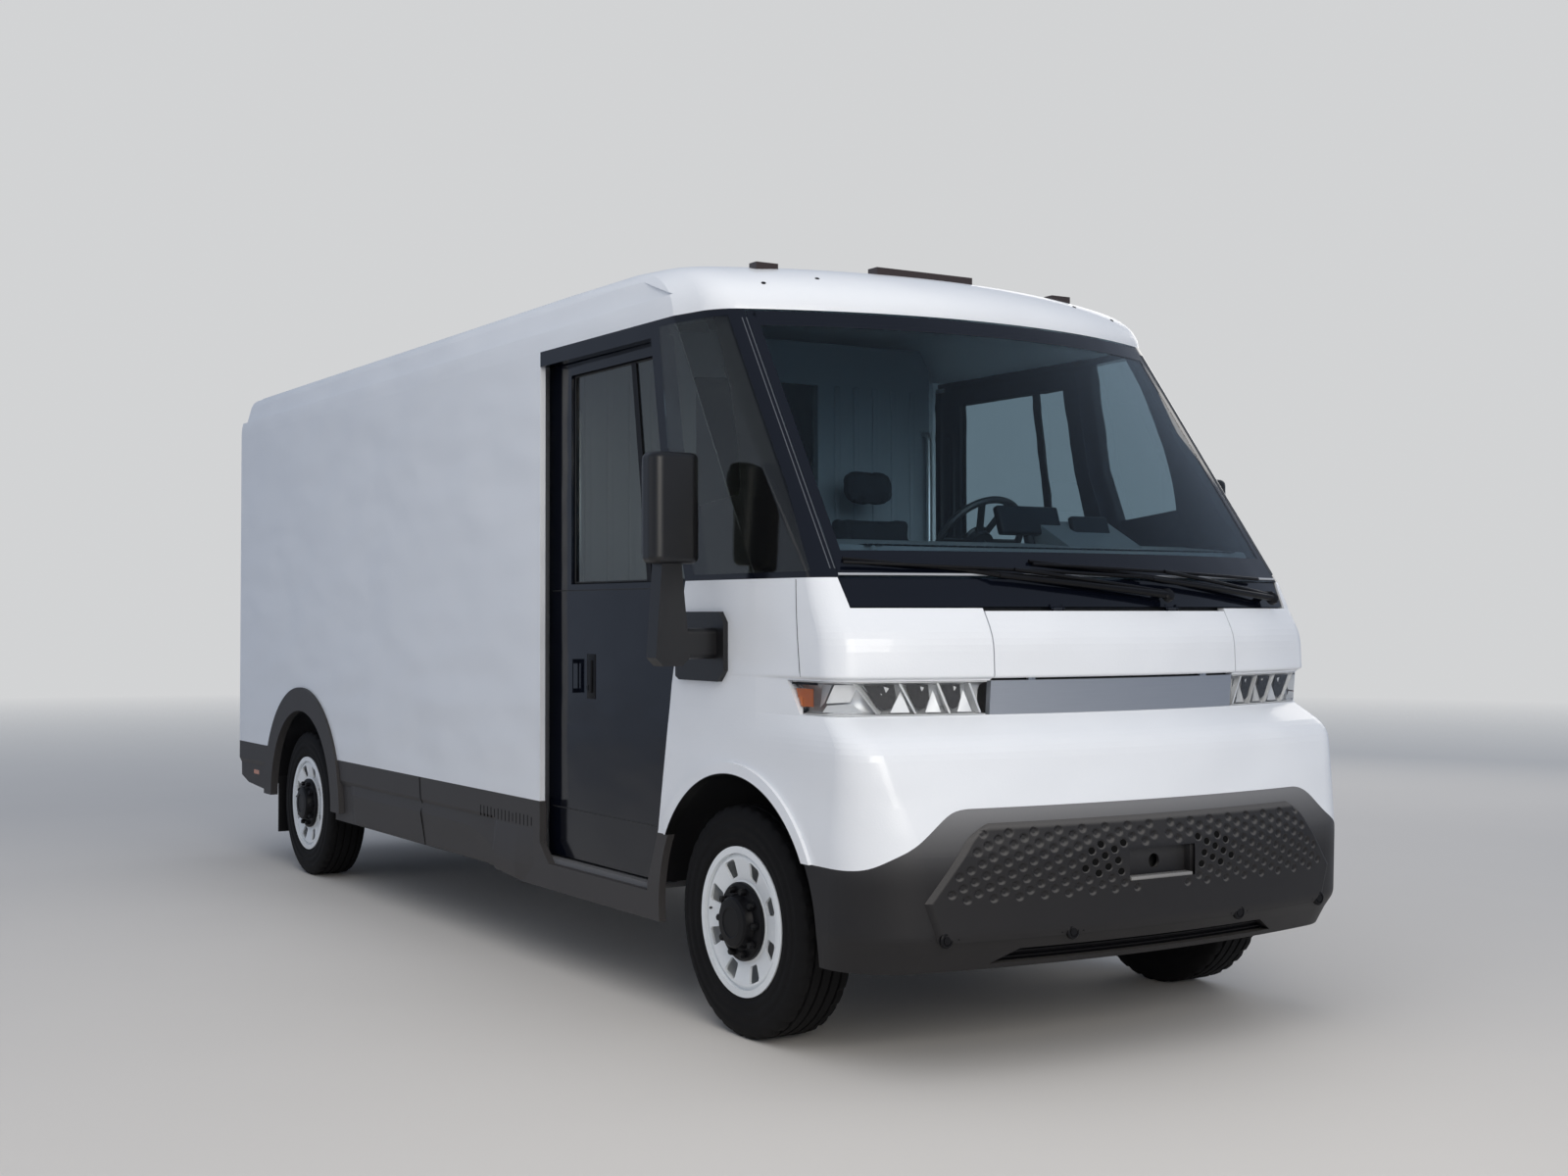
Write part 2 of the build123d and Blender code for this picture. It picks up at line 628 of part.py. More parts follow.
with BuildPart() as front_fascia:
    add(nose_outer)
    add(nose_inner, mode=Mode.SUBTRACT)
    flare = (wheel_disc(front_axle, front_arch_radius + flare_width, body_half - 33, body_half + flare_stand)
             & side_prism([(ahead(600.0), cladding_step), (behind(460.0), cladding_step),
                           (behind(460.0), 1000), (ahead(600.0), 1000)], pocket_inner, wide))
    add(flare)
    add(flare.mirror(Plane.YZ))
    arch = wheel_disc(front_axle, front_arch_radius, pocket_inner, wide)
    add(arch, mode=Mode.SUBTRACT)
    add(arch.mirror(Plane.YZ), mode=Mode.SUBTRACT)
    add(below_bumper_edge, mode=Mode.SUBTRACT)
    with Locations((0, 0, cladding_step / 2)):
        Box(4 * wide, 4 * wide, cladding_step, mode=Mode.SUBTRACT)
    side_cut = side_prism(door_opening, pocket_inner, wide)
    add(side_cut, mode=Mode.SUBTRACT)
    add(side_cut.mirror(Plane.YZ), mode=Mode.SUBTRACT)
    add(front_prism([(cowl_edge[0][0] + seam, cowl_base - seam),
                     (cowl_edge[1][0] + seam, screen_base.height + 1)], nose_front,
                    ahead(300.0)), mode=Mode.SUBTRACT)
    add(front_prism([(hood_half + seam, slot_high - 1), (hood_half + seam, cowl_base)], nose_front,
                    ahead(300.0)), mode=Mode.SUBTRACT)
    add(side_prism(slot_side, -wide, wide), mode=Mode.SUBTRACT)
front_fascia.part.label = "front_fascia"
export_step(front_fascia.part, "parts/front_fascia.step")

hinge_height = 1507.0
hinge_place = ahead(749.0) + 18.0
hinge_radius = 4.0
hinge_lug = hinge_radius + 2.0
lug_centre = 268.0
lug_half = 20.0
ear_gap = 2.0
ear_width = 8.0
lid_thickness = 18.0
cowl_thickness = 20.0

with BuildPart() as cowl_panel:
    add(nose_volume(cowl_gap))
    add(nose_volume(cowl_gap + cowl_thickness), mode=Mode.SUBTRACT)
    add(front_prism(cowl_edge, nose_front, ahead(300.0)), mode=Mode.INTERSECT)
    for side in (-1, 1):
        for end in (-1, 1):
            ear = side * lug_centre + end * (lug_half + ear_gap + ear_width / 2)
            with BuildSketch(Plane.YZ.offset(ear - ear_width / 2)):
                with Locations((hinge_place, hinge_height)):
                    Circle(hinge_lug)
                with Locations((hinge_place + hinge_lug, (hinge_height + cowl_base) / 2 + 4)):
                    Rectangle(2 * hinge_lug, cowl_base - hinge_height + 8)
            extrude(amount=ear_width)
        with BuildSketch(Plane.YZ.offset(side * lug_centre - lug_half - ear_gap - ear_width)):
            with Locations((hinge_place, hinge_height)):
                Circle(hinge_radius)
        extrude(amount=2 * (lug_half + ear_gap + ear_width))
cowl_panel.part.label = "cowl_panel"
export_step(cowl_panel.part, "parts/cowl_panel.step")

with BuildPart() as hood_lid:
    add(nose_outer)
    add(nose_volume(lid_thickness), mode=Mode.SUBTRACT)
    add(front_prism([(hood_half, hood_base), (hood_half, hood_lid_top)], nose_front, ahead(300.0)),
        mode=Mode.INTERSECT)
    for side in (-1, 1):
        with BuildSketch(Plane.YZ.offset(side * lug_centre - lug_half)):
            with Locations((hinge_place, hinge_height)):
                Circle(hinge_lug)
            with Locations((hinge_place + 1, hinge_height - hinge_lug - 4)):
                Rectangle(2 * hinge_lug, 2 * hinge_lug + 4)
            with Locations((hinge_place, hinge_height)):
                Circle(hinge_radius + bearing_gap, mode=Mode.SUBTRACT)
        extrude(amount=2 * lug_half)
hood_lid.part.label = "hood_lid"
export_step(hood_lid.part, "parts/hood_lid.step")

stop_places = (-400.0, 400.0)

with BuildPart() as grille_band:
    add(nose_outer)
    add(nose_volume(panel_thickness - 4), mode=Mode.SUBTRACT)
    add(front_prism([(lamp_inner, slot_low), (lamp_inner, slot_high)], nose_front, ahead(500.0)),
        mode=Mode.INTERSECT)
    for place in stop_places:
        inset = slot_top.sweep - sqrt(slot_top.sweep**2 - place**2)
        with Locations((place, ahead(slot_top.nose) + inset + 13, (slot_high + hood_base - slide_gap) / 2)):
            Box(30, 12, hood_base - slide_gap - slot_high)
grille_band.part.label = "grille_band"
export_step(grille_band.part, "parts/grille_band.step")

lamp_depth = 70.0

with BuildPart() as headlamps:
    add(nose_volume(3))
    add(nose_volume(lamp_depth), mode=Mode.SUBTRACT)
    add(side_prism(slot_side, lamp_inner, wide), mode=Mode.INTERSECT)
    mirror(about=Plane.YZ)
headlamps.part.label = "headlamps"
export_step(headlamps.part, "parts/headlamps.step")

panel_stand = 16.0  # centre panel proud of the bumper
panel_outline = [(880.0, 440.0), (930.0, 570.0), (735.0, 815.0)]
bumper_thickness = 40.0
recess_half = 142.0
recess_low, recess_high = 600.0, 706.0
recess_depth = 30.0
intake = [(650.0, 352.0), (555.0, 401.0)]

with BuildPart() as front_bumper:
    add(nose_outer)
    add(nose_volume(bumper_thickness), mode=Mode.SUBTRACT)
    add(below_bumper_edge, mode=Mode.INTERSECT)
    arch = wheel_disc(front_axle, front_arch_radius, pocket_inner, wide)
    add(arch, mode=Mode.SUBTRACT)
    add(arch.mirror(Plane.YZ), mode=Mode.SUBTRACT)
    with Locations((0, ahead(front_overhang - panel_stand), (recess_low + recess_high) / 2)):
        Box(2 * recess_half, 2 * recess_depth, recess_high - recess_low, mode=Mode.SUBTRACT)
    with Locations(Plane((0, ahead(front_overhang), tow_height), z_dir=(0, -1, 0))):
        Hole(2 * tow_radius, depth=80)
    add(front_prism(intake, nose_front, ahead(600.0)), mode=Mode.SUBTRACT)
front_bumper.part.label = "front_bumper"
export_step(front_bumper.part, "parts/front_bumper.step")

with BuildPart() as bumper_panel:
    add(nose_volume(-panel_stand))
    add(nose_outer, mode=Mode.SUBTRACT)
    add(front_prism(panel_outline, nose_front, ahead(600.0)), mode=Mode.INTERSECT)
    with Locations((0, ahead(front_overhang), (recess_low + recess_high) / 2)):
        Box(2 * recess_half, 4 * panel_stand, recess_high - recess_low, mode=Mode.SUBTRACT)
bumper_panel.part.label = "bumper_panel"
export_step(bumper_panel.part, "parts/bumper_panel.step")

with BuildPart() as air_dam:
    add(nose_volume(bumper_thickness))
    add(nose_volume(bumper_thickness + 20), mode=Mode.SUBTRACT)
    add(front_prism([(700.0, sill_bottom + 4), (700.0, 430.0)], nose_front, ahead(500.0)),
        mode=Mode.INTERSECT)
air_dam.part.label = "air_dam"
export_step(air_dam.part, "parts/air_dam.step")

# ---- lamps, mirrors and wipers ------------------------------------------------------------------

bar_half = 240.0
bar_place = behind(360.0)

with BuildPart() as marker_lamps:
    with Locations((0, bar_place, crown_height - 31)):
        Box(2 * bar_half, 60, 60)
    for side in (-1, 1):
        with Locations((side * 740.0, bar_place + 20, crown_height - 53)):
            Box(100, 50, 50)
    add(cap_outer, mode=Mode.SUBTRACT)
    for side in (-1, 1):
        with Locations((side * (body_half - marker_pocket + 5), side_marker_place, side_marker_height)):
            Box(10, *side_marker_size)
marker_lamps.part.label = "marker_lamps"
export_step(marker_lamps.part, "parts/marker_lamps.step")

mirror_plate = [(behind(366.0), 1262.0), (behind(366.0), 1488.0), (behind(340.0), 1498.0),
                (behind(60.0), 1498.0), (behind(28.0), 1460.0), (behind(28.0), 1290.0),
                (behind(70.0), 1249.0), (behind(340.0), 1249.0)]
mirror_head = (200.0, 112.0, 393.0)
mirror_corner = 42.0
mirror_edge = 24.0
mirror_inner, mirror_low = body_half + 84.0, 1667.0
mirror_head_place = behind(110.0)
stalk_inner, stalk_outer = body_half + 124.0, body_half + 262.0
stalk_low = 1306.0


def mirror_case():
    """Head of the left mirror, a box with well-rounded upright edges and softer ends."""
    with BuildPart() as case:
        with BuildSketch(Plane.XY.offset(mirror_low)):
            with Locations((mirror_inner + mirror_head[0] / 2, mirror_head_place)):
                RectangleRounded(mirror_head[0], mirror_head[1], mirror_corner)
        extrude(amount=mirror_head[2])
        fillet(case.faces().filter_by(Axis.Z).edges(), mirror_edge)
    return case.part


with BuildPart() as mirrors:
    add(side_prism(mirror_plate, body_half - 20, body_half + 16))
    add(nose_outer, mode=Mode.SUBTRACT)
    with BuildSketch(Plane.YZ.offset(body_half + 14)):
        with Locations((mirror_head_place, 1385.0)):
            RectangleRounded(70, 110, 20)
    extrude(amount=stalk_inner + 30 - body_half - 14)
    with BuildSketch(Plane.XZ.offset(-mirror_head_place - 35)):
        with BuildLine():
            Polyline((stalk_inner, stalk_low + 30), (stalk_inner + 30, stalk_low),
                     (stalk_outer - 30, stalk_low), (stalk_outer, stalk_low + 30),
                     (stalk_outer - 25, mirror_low + 10), (stalk_inner + 35, mirror_low + 10), close=True)
        make_face()
    extrude(amount=70)
    add(mirror_case())
    mirror(about=Plane.YZ)
mirrors.part.label = "mirrors"
export_step(mirrors.part, "parts/mirrors.step")

wiper_stand = 24.0
rod_steps = 6
wiper_pivots = [((231.0, 1566.0), (-1010.0, 1662.0), (-420.0, 1640.0)),
                ((880.0, 1560.0), (-330.0, 1660.0), (260.0, 1640.0))]


def screen_place(x, z, stand):
    """Point that stands off the cowl or the screen at a sideways place and height."""
    low, high = (hood_top, screen_base) if z < screen_base.height else (screen_base, screen_top)
    share = (z - low.height) / (high.height - low.height)
    nose = low.nose + (high.nose - low.nose) * share
    sweep = low.sweep + (high.sweep - low.sweep) * share
    return (x, ahead(nose) + sweep - sqrt(sweep**2 - x**2) - stand, z)


def rod(start, end, radius):
    """Round rod between two points."""
    line = Vector(*end) - Vector(*start)
    with BuildSketch(Plane(start, z_dir=line)) as section:
        Circle(radius)
    return extrude(section.sketch, amount=line.length, mode=Mode.PRIVATE)


def bowed_rod(start, end, stand, radius):
    """Rod that keeps its distance from the screen, between two (sideways, height) places."""
    places = []
    for step in range(rod_steps + 1):
        share = step / rod_steps
        x, z = (a + (b - a) * share for a, b in zip(start, end))
        places.append(screen_place(x, z, stand))
    pieces = [rod(a, b, radius) for a, b in zip(places, places[1:])]
    knots = [Pos(*place) * Sphere(radius, mode=Mode.PRIVATE) for place in places[1:-1]]
    return [*pieces, *knots]


with BuildPart() as wipers:
    for pivot, tip, joint in wiper_pivots:
        blade_inner = (2 * joint[0] - tip[0], 2 * joint[1] - tip[1])
        add(rod(screen_place(*pivot, -cowl_gap), screen_place(*pivot, wiper_stand + 16), 14.0))
        add(bowed_rod(pivot, joint, wiper_stand + 8, 7.0))
        add(bowed_rod(tip, blade_inner, wiper_stand, 6.0))
    add(nose_volume(cowl_gap), mode=Mode.SUBTRACT)
    add(screen_outer, mode=Mode.SUBTRACT)
wipers.part.label = "wipers"
export_step(wipers.part, "parts/wipers.step")

# ---- inside the cab -----------------------------------------------------------------------------

bulkhead_front = side_front + 27.0
bulkhead_thickness = 40.0
doorway_half = 330.0
doorway_top = eaves_height - 48.0

with BuildPart() as cab_bulkhead:
    with BuildSketch(Plane.XZ.offset(-bulkhead_front)):
        with BuildLine():
            Polyline((pocket_inner, floor_height), (pocket_inner, eaves_height + 60),
                     (pocket_inner - 55, eaves_height + 150),
                     (55 - pocket_inner, eaves_height + 150), (-pocket_inner, eaves_height + 60),
                     (-pocket_inner, floor_height), close=True)
        make_face()
        with Locations((0, (floor_height + doorway_top) / 2)):
            Rectangle(2 * doorway_half, doorway_top - floor_height, mode=Mode.SUBTRACT)
    extrude(amount=-bulkhead_thickness)
cab_bulkhead.part.label = "cab_bulkhead"
export_step(cab_bulkhead.part, "parts/cab_bulkhead.step")

dash_gap = 55.0  # dashboard behind the outer face of the cab
dash_half = body_half - 130.0
dash_side = [(ahead(900.0), 1640.0), (ahead(520.0), 1715.0), (ahead(60.0), 1760.0), (ahead(20.0), 1700.0),
             (ahead(30.0), 1340.0), (ahead(340.0), 1230.0), (ahead(370.0), floor_height),
             (toe_board, floor_height), (ahead(460.0), 1300.0), (ahead(600.0), 1440.0),
             (ahead(900.0), 1500.0)]
binnacle = [(ahead(260.0), 1730.0), (ahead(40.0), 1850.0), (ahead(20.0), 1700.0), (ahead(200.0), 1650.0)]
wheel_place_x = 430.0

with BuildPart() as dashboard:
    extrude(side_face(dash_side, -dash_half), amount=2 * dash_half)
    extrude(side_face(binnacle, wheel_place_x - 190), amount=380)
    add(nose_volume(dash_gap) + screen_volume(dash_gap), mode=Mode.INTERSECT)
    box_room = wheel_disc(front_axle, box_clear + seam, liner_inner - seam, wide)
    add(box_room, mode=Mode.SUBTRACT)
    add(box_room.mirror(Plane.YZ), mode=Mode.SUBTRACT)
dashboard.part.label = "dashboard"
export_step(dashboard.part, "parts/dashboard.step")

seat_x = 430.0
seat_back_place = behind(1240.0)
cushion_size = (500.0, 500.0, 120.0)
cushion_top = 1300.0

with BuildPart() as driver_seat:
    with Locations((seat_x, seat_back_place - 260, (floor_height + cushion_top - 120) / 2)):
        Box(300, 340, cushion_top - 120 - floor_height)
    with Locations((seat_x, seat_back_place - 250, cushion_top - cushion_size[2] / 2)):
        Box(*cushion_size)
    extrude(side_face([(seat_back_place - 110, cushion_top - 60), (seat_back_place, cushion_top - 60),
                       (seat_back_place + 110, 1960), (seat_back_place + 10, 1960)], seat_x - 240),
            amount=480)
    extrude(side_face([(seat_back_place + 20, 1960), (seat_back_place + 100, 1960),
                       (seat_back_place + 130, 2160), (seat_back_place + 50, 2160)], seat_x - 140),
            amount=280)
driver_seat.part.label = "driver_seat"
export_step(driver_seat.part, "parts/driver_seat.step")

column_tilt = 55.0  # column's lean from upright
column_axis = (0.0, sin(radians(column_tilt)), cos(radians(column_tilt)))
hand_wheel = (wheel_place_x, behind(530.0), 1790.0)
hand_wheel_radius = 210.0
hand_grip = 15.0
hub_half = 22.0
column_length = 790.0
column_radius = 32.0


def along_column(distance):
    """Point on the steering column's axis, measured from the centre of the steering wheel."""
    return tuple(c + u * distance for c, u in zip(hand_wheel, column_axis))


with BuildPart() as steering_column:
    with BuildSketch(Plane(along_column(-hub_half - slide_gap - 40), z_dir=column_axis)):
        Circle(column_radius)
    extrude(amount=-(column_length - hub_half - 40))
    with BuildSketch(Plane(along_column(-hub_half - slide_gap - 40), z_dir=column_axis)):
        Circle(column_radius - 8)
    extrude(amount=40)
    add(dashboard.part, mode=Mode.SUBTRACT)
    column_pieces = steering_column.solids().sort_by(Axis.Y)
    for piece in column_pieces[:-1]:
        add(piece, mode=Mode.SUBTRACT)
steering_column.part.label = "steering_column"
export_step(steering_column.part, "parts/steering_column.step")

with BuildPart() as steering_wheel:
    with BuildSketch(Plane(hand_wheel, x_dir=(1, 0, 0), z_dir=(0, column_axis[2], -column_axis[1]))):
        with Locations((hand_wheel_radius, 0)):
            Circle(hand_grip)
    revolve(axis=Axis(hand_wheel, column_axis))
    with BuildSketch(Plane(along_column(-hub_half), x_dir=(1, 0, 0), z_dir=column_axis)):
        Circle(58)
    extrude(amount=2 * hub_half)
    with BuildSketch(Plane(along_column(-6), x_dir=(1, 0, 0), z_dir=column_axis)):
        for angle in (0, 180, 250, 290):
            with Locations(Location((0, 0), angle)):
                with Locations((hand_wheel_radius / 2, 0)):
                    Rectangle(hand_wheel_radius - 8, 28)
    extrude(amount=12)
steering_wheel.part.label = "steering_wheel"
export_step(steering_wheel.part, "parts/steering_wheel.step")

# ---- axles --------------------------------------------------------------------------------------

spring_half_length = 600.0
beam_low, beam_high = axle_height - 50.0, axle_height + 33.0
beam_half_width = 42.0


def leaf_spring(place, seat):
    """Leaf pack under a frame rail, on the left side, bowed down onto the axle's seat."""
    with BuildSketch(Plane.YZ.offset(rail_inner)) as outline:
        with BuildLine():
            Polyline((place - spring_half_length, rail_low), (place + spring_half_length, rail_low),
                     (place + spring_half_length, rail_low - 14), (place + 70, seat), (place - 70, seat),
                     (place - spring_half_length, rail_low - 14), close=True)
        make_face()
    return extrude(outline.sketch, amount=rail_outer - rail_inner, mode=Mode.PRIVATE)


with BuildPart() as front_axle_beam:
    with Locations((0, front_axle, (beam_low + beam_high) / 2)):
        Box(2 * (kingpin_place - 30), 2 * beam_half_width, beam_high - beam_low)
    add(leaf_spring(front_axle, beam_high))
    with BuildSketch(Plane.XY.offset(axle_height - fist_half_height)):
        with Locations((kingpin_place, front_axle)):
            Circle(fist_radius)
    extrude(amount=2 * fist_half_height)
    with BuildSketch(Plane.XY.offset(axle_height - fist_half_height)):
        with Locations((kingpin_place, front_axle)):
            Circle(kingpin_radius + bearing_gap)
    extrude(amount=2 * fist_half_height, mode=Mode.SUBTRACT)
    split(bisect_by=Plane.YZ, keep=Keep.TOP)
    mirror(about=Plane.YZ)
front_axle_beam.part.label = "front_axle_beam"
export_step(front_axle_beam.part, "parts/front_axle_beam.step")

spindle_end = wheel_centre + disc_offset
hub_inner = wheel_centre - 60.0
web_inner = kingpin_place + fist_radius + 6.0

with BuildPart() as knuckle_left:
    for low in (axle_height - fist_half_height - slide_gap - yoke_arm,
                axle_height + fist_half_height + slide_gap):
        with BuildSketch(Plane.XY.offset(low)):
            with Locations((kingpin_place, front_axle)):
                Circle(fist_radius)
            with Locations(((kingpin_place + web_inner) / 2 + 5, front_axle)):
                Rectangle(web_inner - kingpin_place + 10, 2 * fist_radius)
        extrude(amount=yoke_arm)
    with BuildSketch(Plane.XY.offset(axle_height - fist_half_height - 10)):
        with Locations((kingpin_place, front_axle)):
            Circle(kingpin_radius)
    extrude(amount=2 * fist_half_height + 20)
    knuckle_half = fist_half_height + slide_gap + yoke_arm
    with Locations(((web_inner + hub_inner - slide_gap) / 2, front_axle, axle_height)):
        Box(hub_inner - slide_gap - web_inner, 2 * fist_radius, 2 * knuckle_half)
    with BuildSketch(Plane.YZ.offset(hub_inner - slide_gap - 4)):
        with Locations((front_axle, axle_height)):
            Circle(spindle_radius)
    extrude(amount=spindle_end - hub_inner + slide_gap + 4)
knuckle_left.part.label = "knuckle_left"
export_step(knuckle_left.part, "parts/knuckle_left.step")

with BuildPart() as knuckle_right:
    mirror(knuckle_left.part, about=Plane.YZ)
knuckle_right.part.label = "knuckle_right"
export_step(knuckle_right.part, "parts/knuckle_right.step")

tube_radius = 58.0
housing_half = 180.0
housing_depth = 120.0

with BuildPart() as rear_axle_beam:
    with BuildSketch(Plane.YZ):
        with Locations((rear_axle, axle_height)):
            Circle(tube_radius)
    extrude(amount=hub_inner - slide_gap)
    with BuildSketch(Plane.YZ):
        with Locations((rear_axle, axle_height)):
            Circle(spindle_radius)
    extrude(amount=spindle_end)
    with Locations((housing_half / 2, rear_axle, axle_height)):
        Box(housing_half, 2 * housing_depth, 2 * housing_depth)
    add(leaf_spring(rear_axle, axle_height + tube_radius - 20))
    mirror(about=Plane.YZ)
rear_axle_beam.part.label = "rear_axle_beam"
export_step(rear_axle_beam.part, "parts/rear_axle_beam.step")

unit_length = 330.0
unit_half = 210.0

with BuildPart() as drive_unit:
    with Locations((0, rear_axle - housing_depth - unit_length / 2, axle_height - 10)):
        Box(2 * unit_half, unit_length, 230)
drive_unit.part.label = "drive_unit"
export_step(drive_unit.part, "parts/drive_unit.step")

flap_place = rear_arch_radius - 6.0
flap_low = 190.0
flap_high = 555.0
liner_outer = body_half - 46.0
liner_base = axle_height + tube_radius + 12.0

with BuildPart() as wheel_liners:
    add(wheel_disc(front_axle, box_clear, liner_inner, liner_outer)
        - wheel_disc(front_axle, box_clear - liner_thickness, liner_inner + liner_thickness, wide))
    add(wheel_disc(rear_axle, rear_box, rear_liner_inner, body_half - panel_thickness)
        - wheel_disc(rear_axle, rear_box - liner_thickness, rear_liner_inner + liner_thickness, wide))
    for place in (front_axle, rear_axle):
        with Locations((wheel_centre, place, 0)):
            Box(1000, 1400, 2 * liner_base, mode=Mode.SUBTRACT)
    with Locations((wheel_centre + 5, rear_axle + flap_place, (flap_low + flap_high) / 2)):
        Box(205, 8, flap_high - flap_low)
    mirror(about=Plane.YZ)
wheel_liners.part.label = "wheel_liners"
export_step(wheel_liners.part, "parts/wheel_liners.step")

# ---- doors --------------------------------------------------------------------------------------

door_lap = 15.0  # door ahead of its opening's front edge
window_rear, window_low, window_high = 1375.0, 1613.0, 2492.0
window = [(behind(window_rear), window_low), (behind(window_rear), window_high),
          (behind(660.0), window_high), (behind(585.0), 2114.0), (behind(430.0), window_low)]
door_outline = ([(behind(d - door_lap), z) for d, z in door_front[:-1]]
                + [(behind(door_front[-1][0] - door_lap), door_top + 15),
                   (side_front + door_overlap, door_top + 15), (side_front + door_overlap, door_bottom)])
shoe_places = (behind(700.0), behind(1480.0))
shoe_size = (18.0, 60.0)
handle_height = 1232.0
handle_place = behind(1322.0)

with BuildPart() as door_left:
    with BuildSketch(Plane.YZ.offset(door_face - door_thickness)):
        with BuildLine():
            Polyline(*door_outline, close=True)
        make_face()
        with BuildLine():
            Polyline(*window, close=True)
        make_face(mode=Mode.SUBTRACT)
    extrude(amount=door_thickness)
    for place in shoe_places:
        low_shoe = door_bottom - tread_height - slide_gap
        high_shoe = track_low - door_top - 15 - slide_gap
        with Locations((door_face - door_thickness / 2, place, door_bottom - low_shoe / 2)):
            Box(*shoe_size, low_shoe)
        with Locations((door_face - door_thickness / 2, place, door_top + 15 + high_shoe / 2)):
            Box(*shoe_size, high_shoe)
    with Locations((door_face + 14, handle_place, handle_height)):
        Box(28, 26, 140)
        Box(20, 30, 104, mode=Mode.SUBTRACT)
door_left.part.label = "door_left"
export_step(door_left.part, "parts/door_left.step")

with BuildPart() as door_glass_left:
    with BuildSketch(Plane.YZ.offset(door_face - 24)):
        with BuildLine():
            Polyline(*window, close=True)
        make_face()
    extrude(amount=6)
door_glass_left.part.label = "door_glass_left"
export_step(door_glass_left.part, "parts/door_glass_left.step")

with BuildPart() as door_right:
    mirror(door_left.part, about=Plane.YZ)
door_right.part.label = "door_right"
export_step(door_right.part, "parts/door_right.step")

with BuildPart() as door_glass_right:
    mirror(door_glass_left.part, about=Plane.YZ)
door_glass_right.part.label = "door_glass_right"
export_step(door_glass_right.part, "parts/door_glass_right.step")

# ---- wheels -------------------------------------------------------------------------------------

half_tyre = tyre_width / 2
bead_half = 98.0
hand_hole_inner, hand_hole_outer = 157.0, 218.0
hand_hole_half = (23.0, 36.0)  # half width at the inner and the outer edge
hand_hole_corner = 12.0


def tyre(side, place):
    """Tyre of the wheel on one side, -1 right or 1 left."""
    with BuildPart() as ring:
        with BuildSketch(Plane.XY.offset(axle_height)):
            with BuildLine():
                Polyline((-bead_half, rim_seat_radius), (bead_half, rim_seat_radius),
                         (bead_half, rim_lip_radius + 5), (half_tyre - 6, rim_seat_radius + 52),
                         (half_tyre, tyre_radius - 72), (half_tyre - 4, tyre_radius - 35),
                         (half_tyre - 16, tyre_radius - 9), (half_tyre - 34, tyre_radius),
                         (34 - half_tyre, tyre_radius), (16 - half_tyre, tyre_radius - 9),
                         (4 - half_tyre, tyre_radius - 35), (-half_tyre, tyre_radius - 72),
                         (6 - half_tyre, rim_seat_radius + 52), (-bead_half, rim_lip_radius + 5),
                         close=True)
            make_face()
        revolve(axis=Axis((0, 0, axle_height), (1, 0, 0)))
    return Location((side * wheel_centre, place, 0)) * ring.part


def hand_hole():
    """Outline of one hand hole, wider towards the rim, pointing along +X."""
    half_run = (hand_hole_outer - hand_hole_inner) / 2
    with BuildSketch() as hole:
        with BuildLine():
            Polyline((-half_run, -hand_hole_half[0]), (half_run, -hand_hole_half[1]),
                     (half_run, hand_hole_half[1]), (-half_run, hand_hole_half[0]), close=True)
        make_face()
        fillet(hole.vertices(), hand_hole_corner)
    return hole.sketch


def rim(side, place):
    """Steel wheel with its hub on one side, -1 right or 1 left."""
    out = side
    with BuildPart() as wheel:
        with BuildSketch(Plane.XY.offset(axle_height)):
            with BuildLine():
                Polyline((-bead_half, rim_seat_radius), (bead_half, rim_seat_radius),
                         (bead_half, rim_lip_radius), (bead_half + rim_lip_width, rim_lip_radius),
                         (bead_half + rim_lip_width, rim_seat_radius - rim_thickness),
                         (-bead_half - rim_lip_width, rim_seat_radius - rim_thickness),
                         (-bead_half - rim_lip_width, rim_lip_radius), (-bead_half, rim_lip_radius),
                         close=True)
            make_face()
            with BuildLine():
                Polyline((out * disc_offset, spindle_radius + bearing_gap),
                         (out * (hub_inner - wheel_centre), spindle_radius + bearing_gap),
                         (out * (hub_inner - wheel_centre), hub_radius),
                         (out * (disc_offset - disc_thickness), hub_radius),
                         (out * (disc_offset - disc_thickness - 7), hub_radius + 60),
                         (out * (disc_offset - disc_thickness + 6), rim_seat_radius - 32),
                         (out * (disc_offset - disc_thickness - 6), rim_seat_radius - rim_thickness + 1),
                         (out * (disc_offset - 4), rim_seat_radius - rim_thickness + 1),
                         (out * (disc_offset + 6), rim_seat_radius - 22),
                         (out * (disc_offset + 6), rim_seat_radius - 32),
                         (out * (disc_offset - 7), hub_radius + 60), (out * disc_offset, hub_radius + 36),
                         (out * disc_offset, hub_radius), close=True)
            make_face()
        revolve(axis=Axis((0, 0, axle_height), (1, 0, 0)))
        with BuildSketch(Plane.YZ.offset(-wide)):
            with Locations((0, axle_height)):
                with PolarLocations((hand_hole_inner + hand_hole_outer) / 2, hand_holes,
                                    start_angle=180 / hand_holes):
                    add(hand_hole())
        extrude(amount=2 * wide, mode=Mode.SUBTRACT)
    return Location((side * wheel_centre, place, 0)) * wheel.part


for corner, side, place in (("front_right", -1, front_axle), ("front_left", 1, front_axle),
                            ("rear_right", -1, rear_axle), ("rear_left", 1, rear_axle)):
    with BuildPart() as wheel_tyre:
        add(tyre(side, place))
    wheel_tyre.part.label = f"tyre_{corner}"
    export_step(wheel_tyre.part, f"parts/tyre_{corner}.step")
    with BuildPart() as wheel_rim:
        add(rim(side, place))
    wheel_rim.part.label = f"rim_{corner}"
    export_step(wheel_rim.part, f"parts/rim_{corner}.step")
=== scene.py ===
"""Looks of a walk-in electric cargo van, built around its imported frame."""

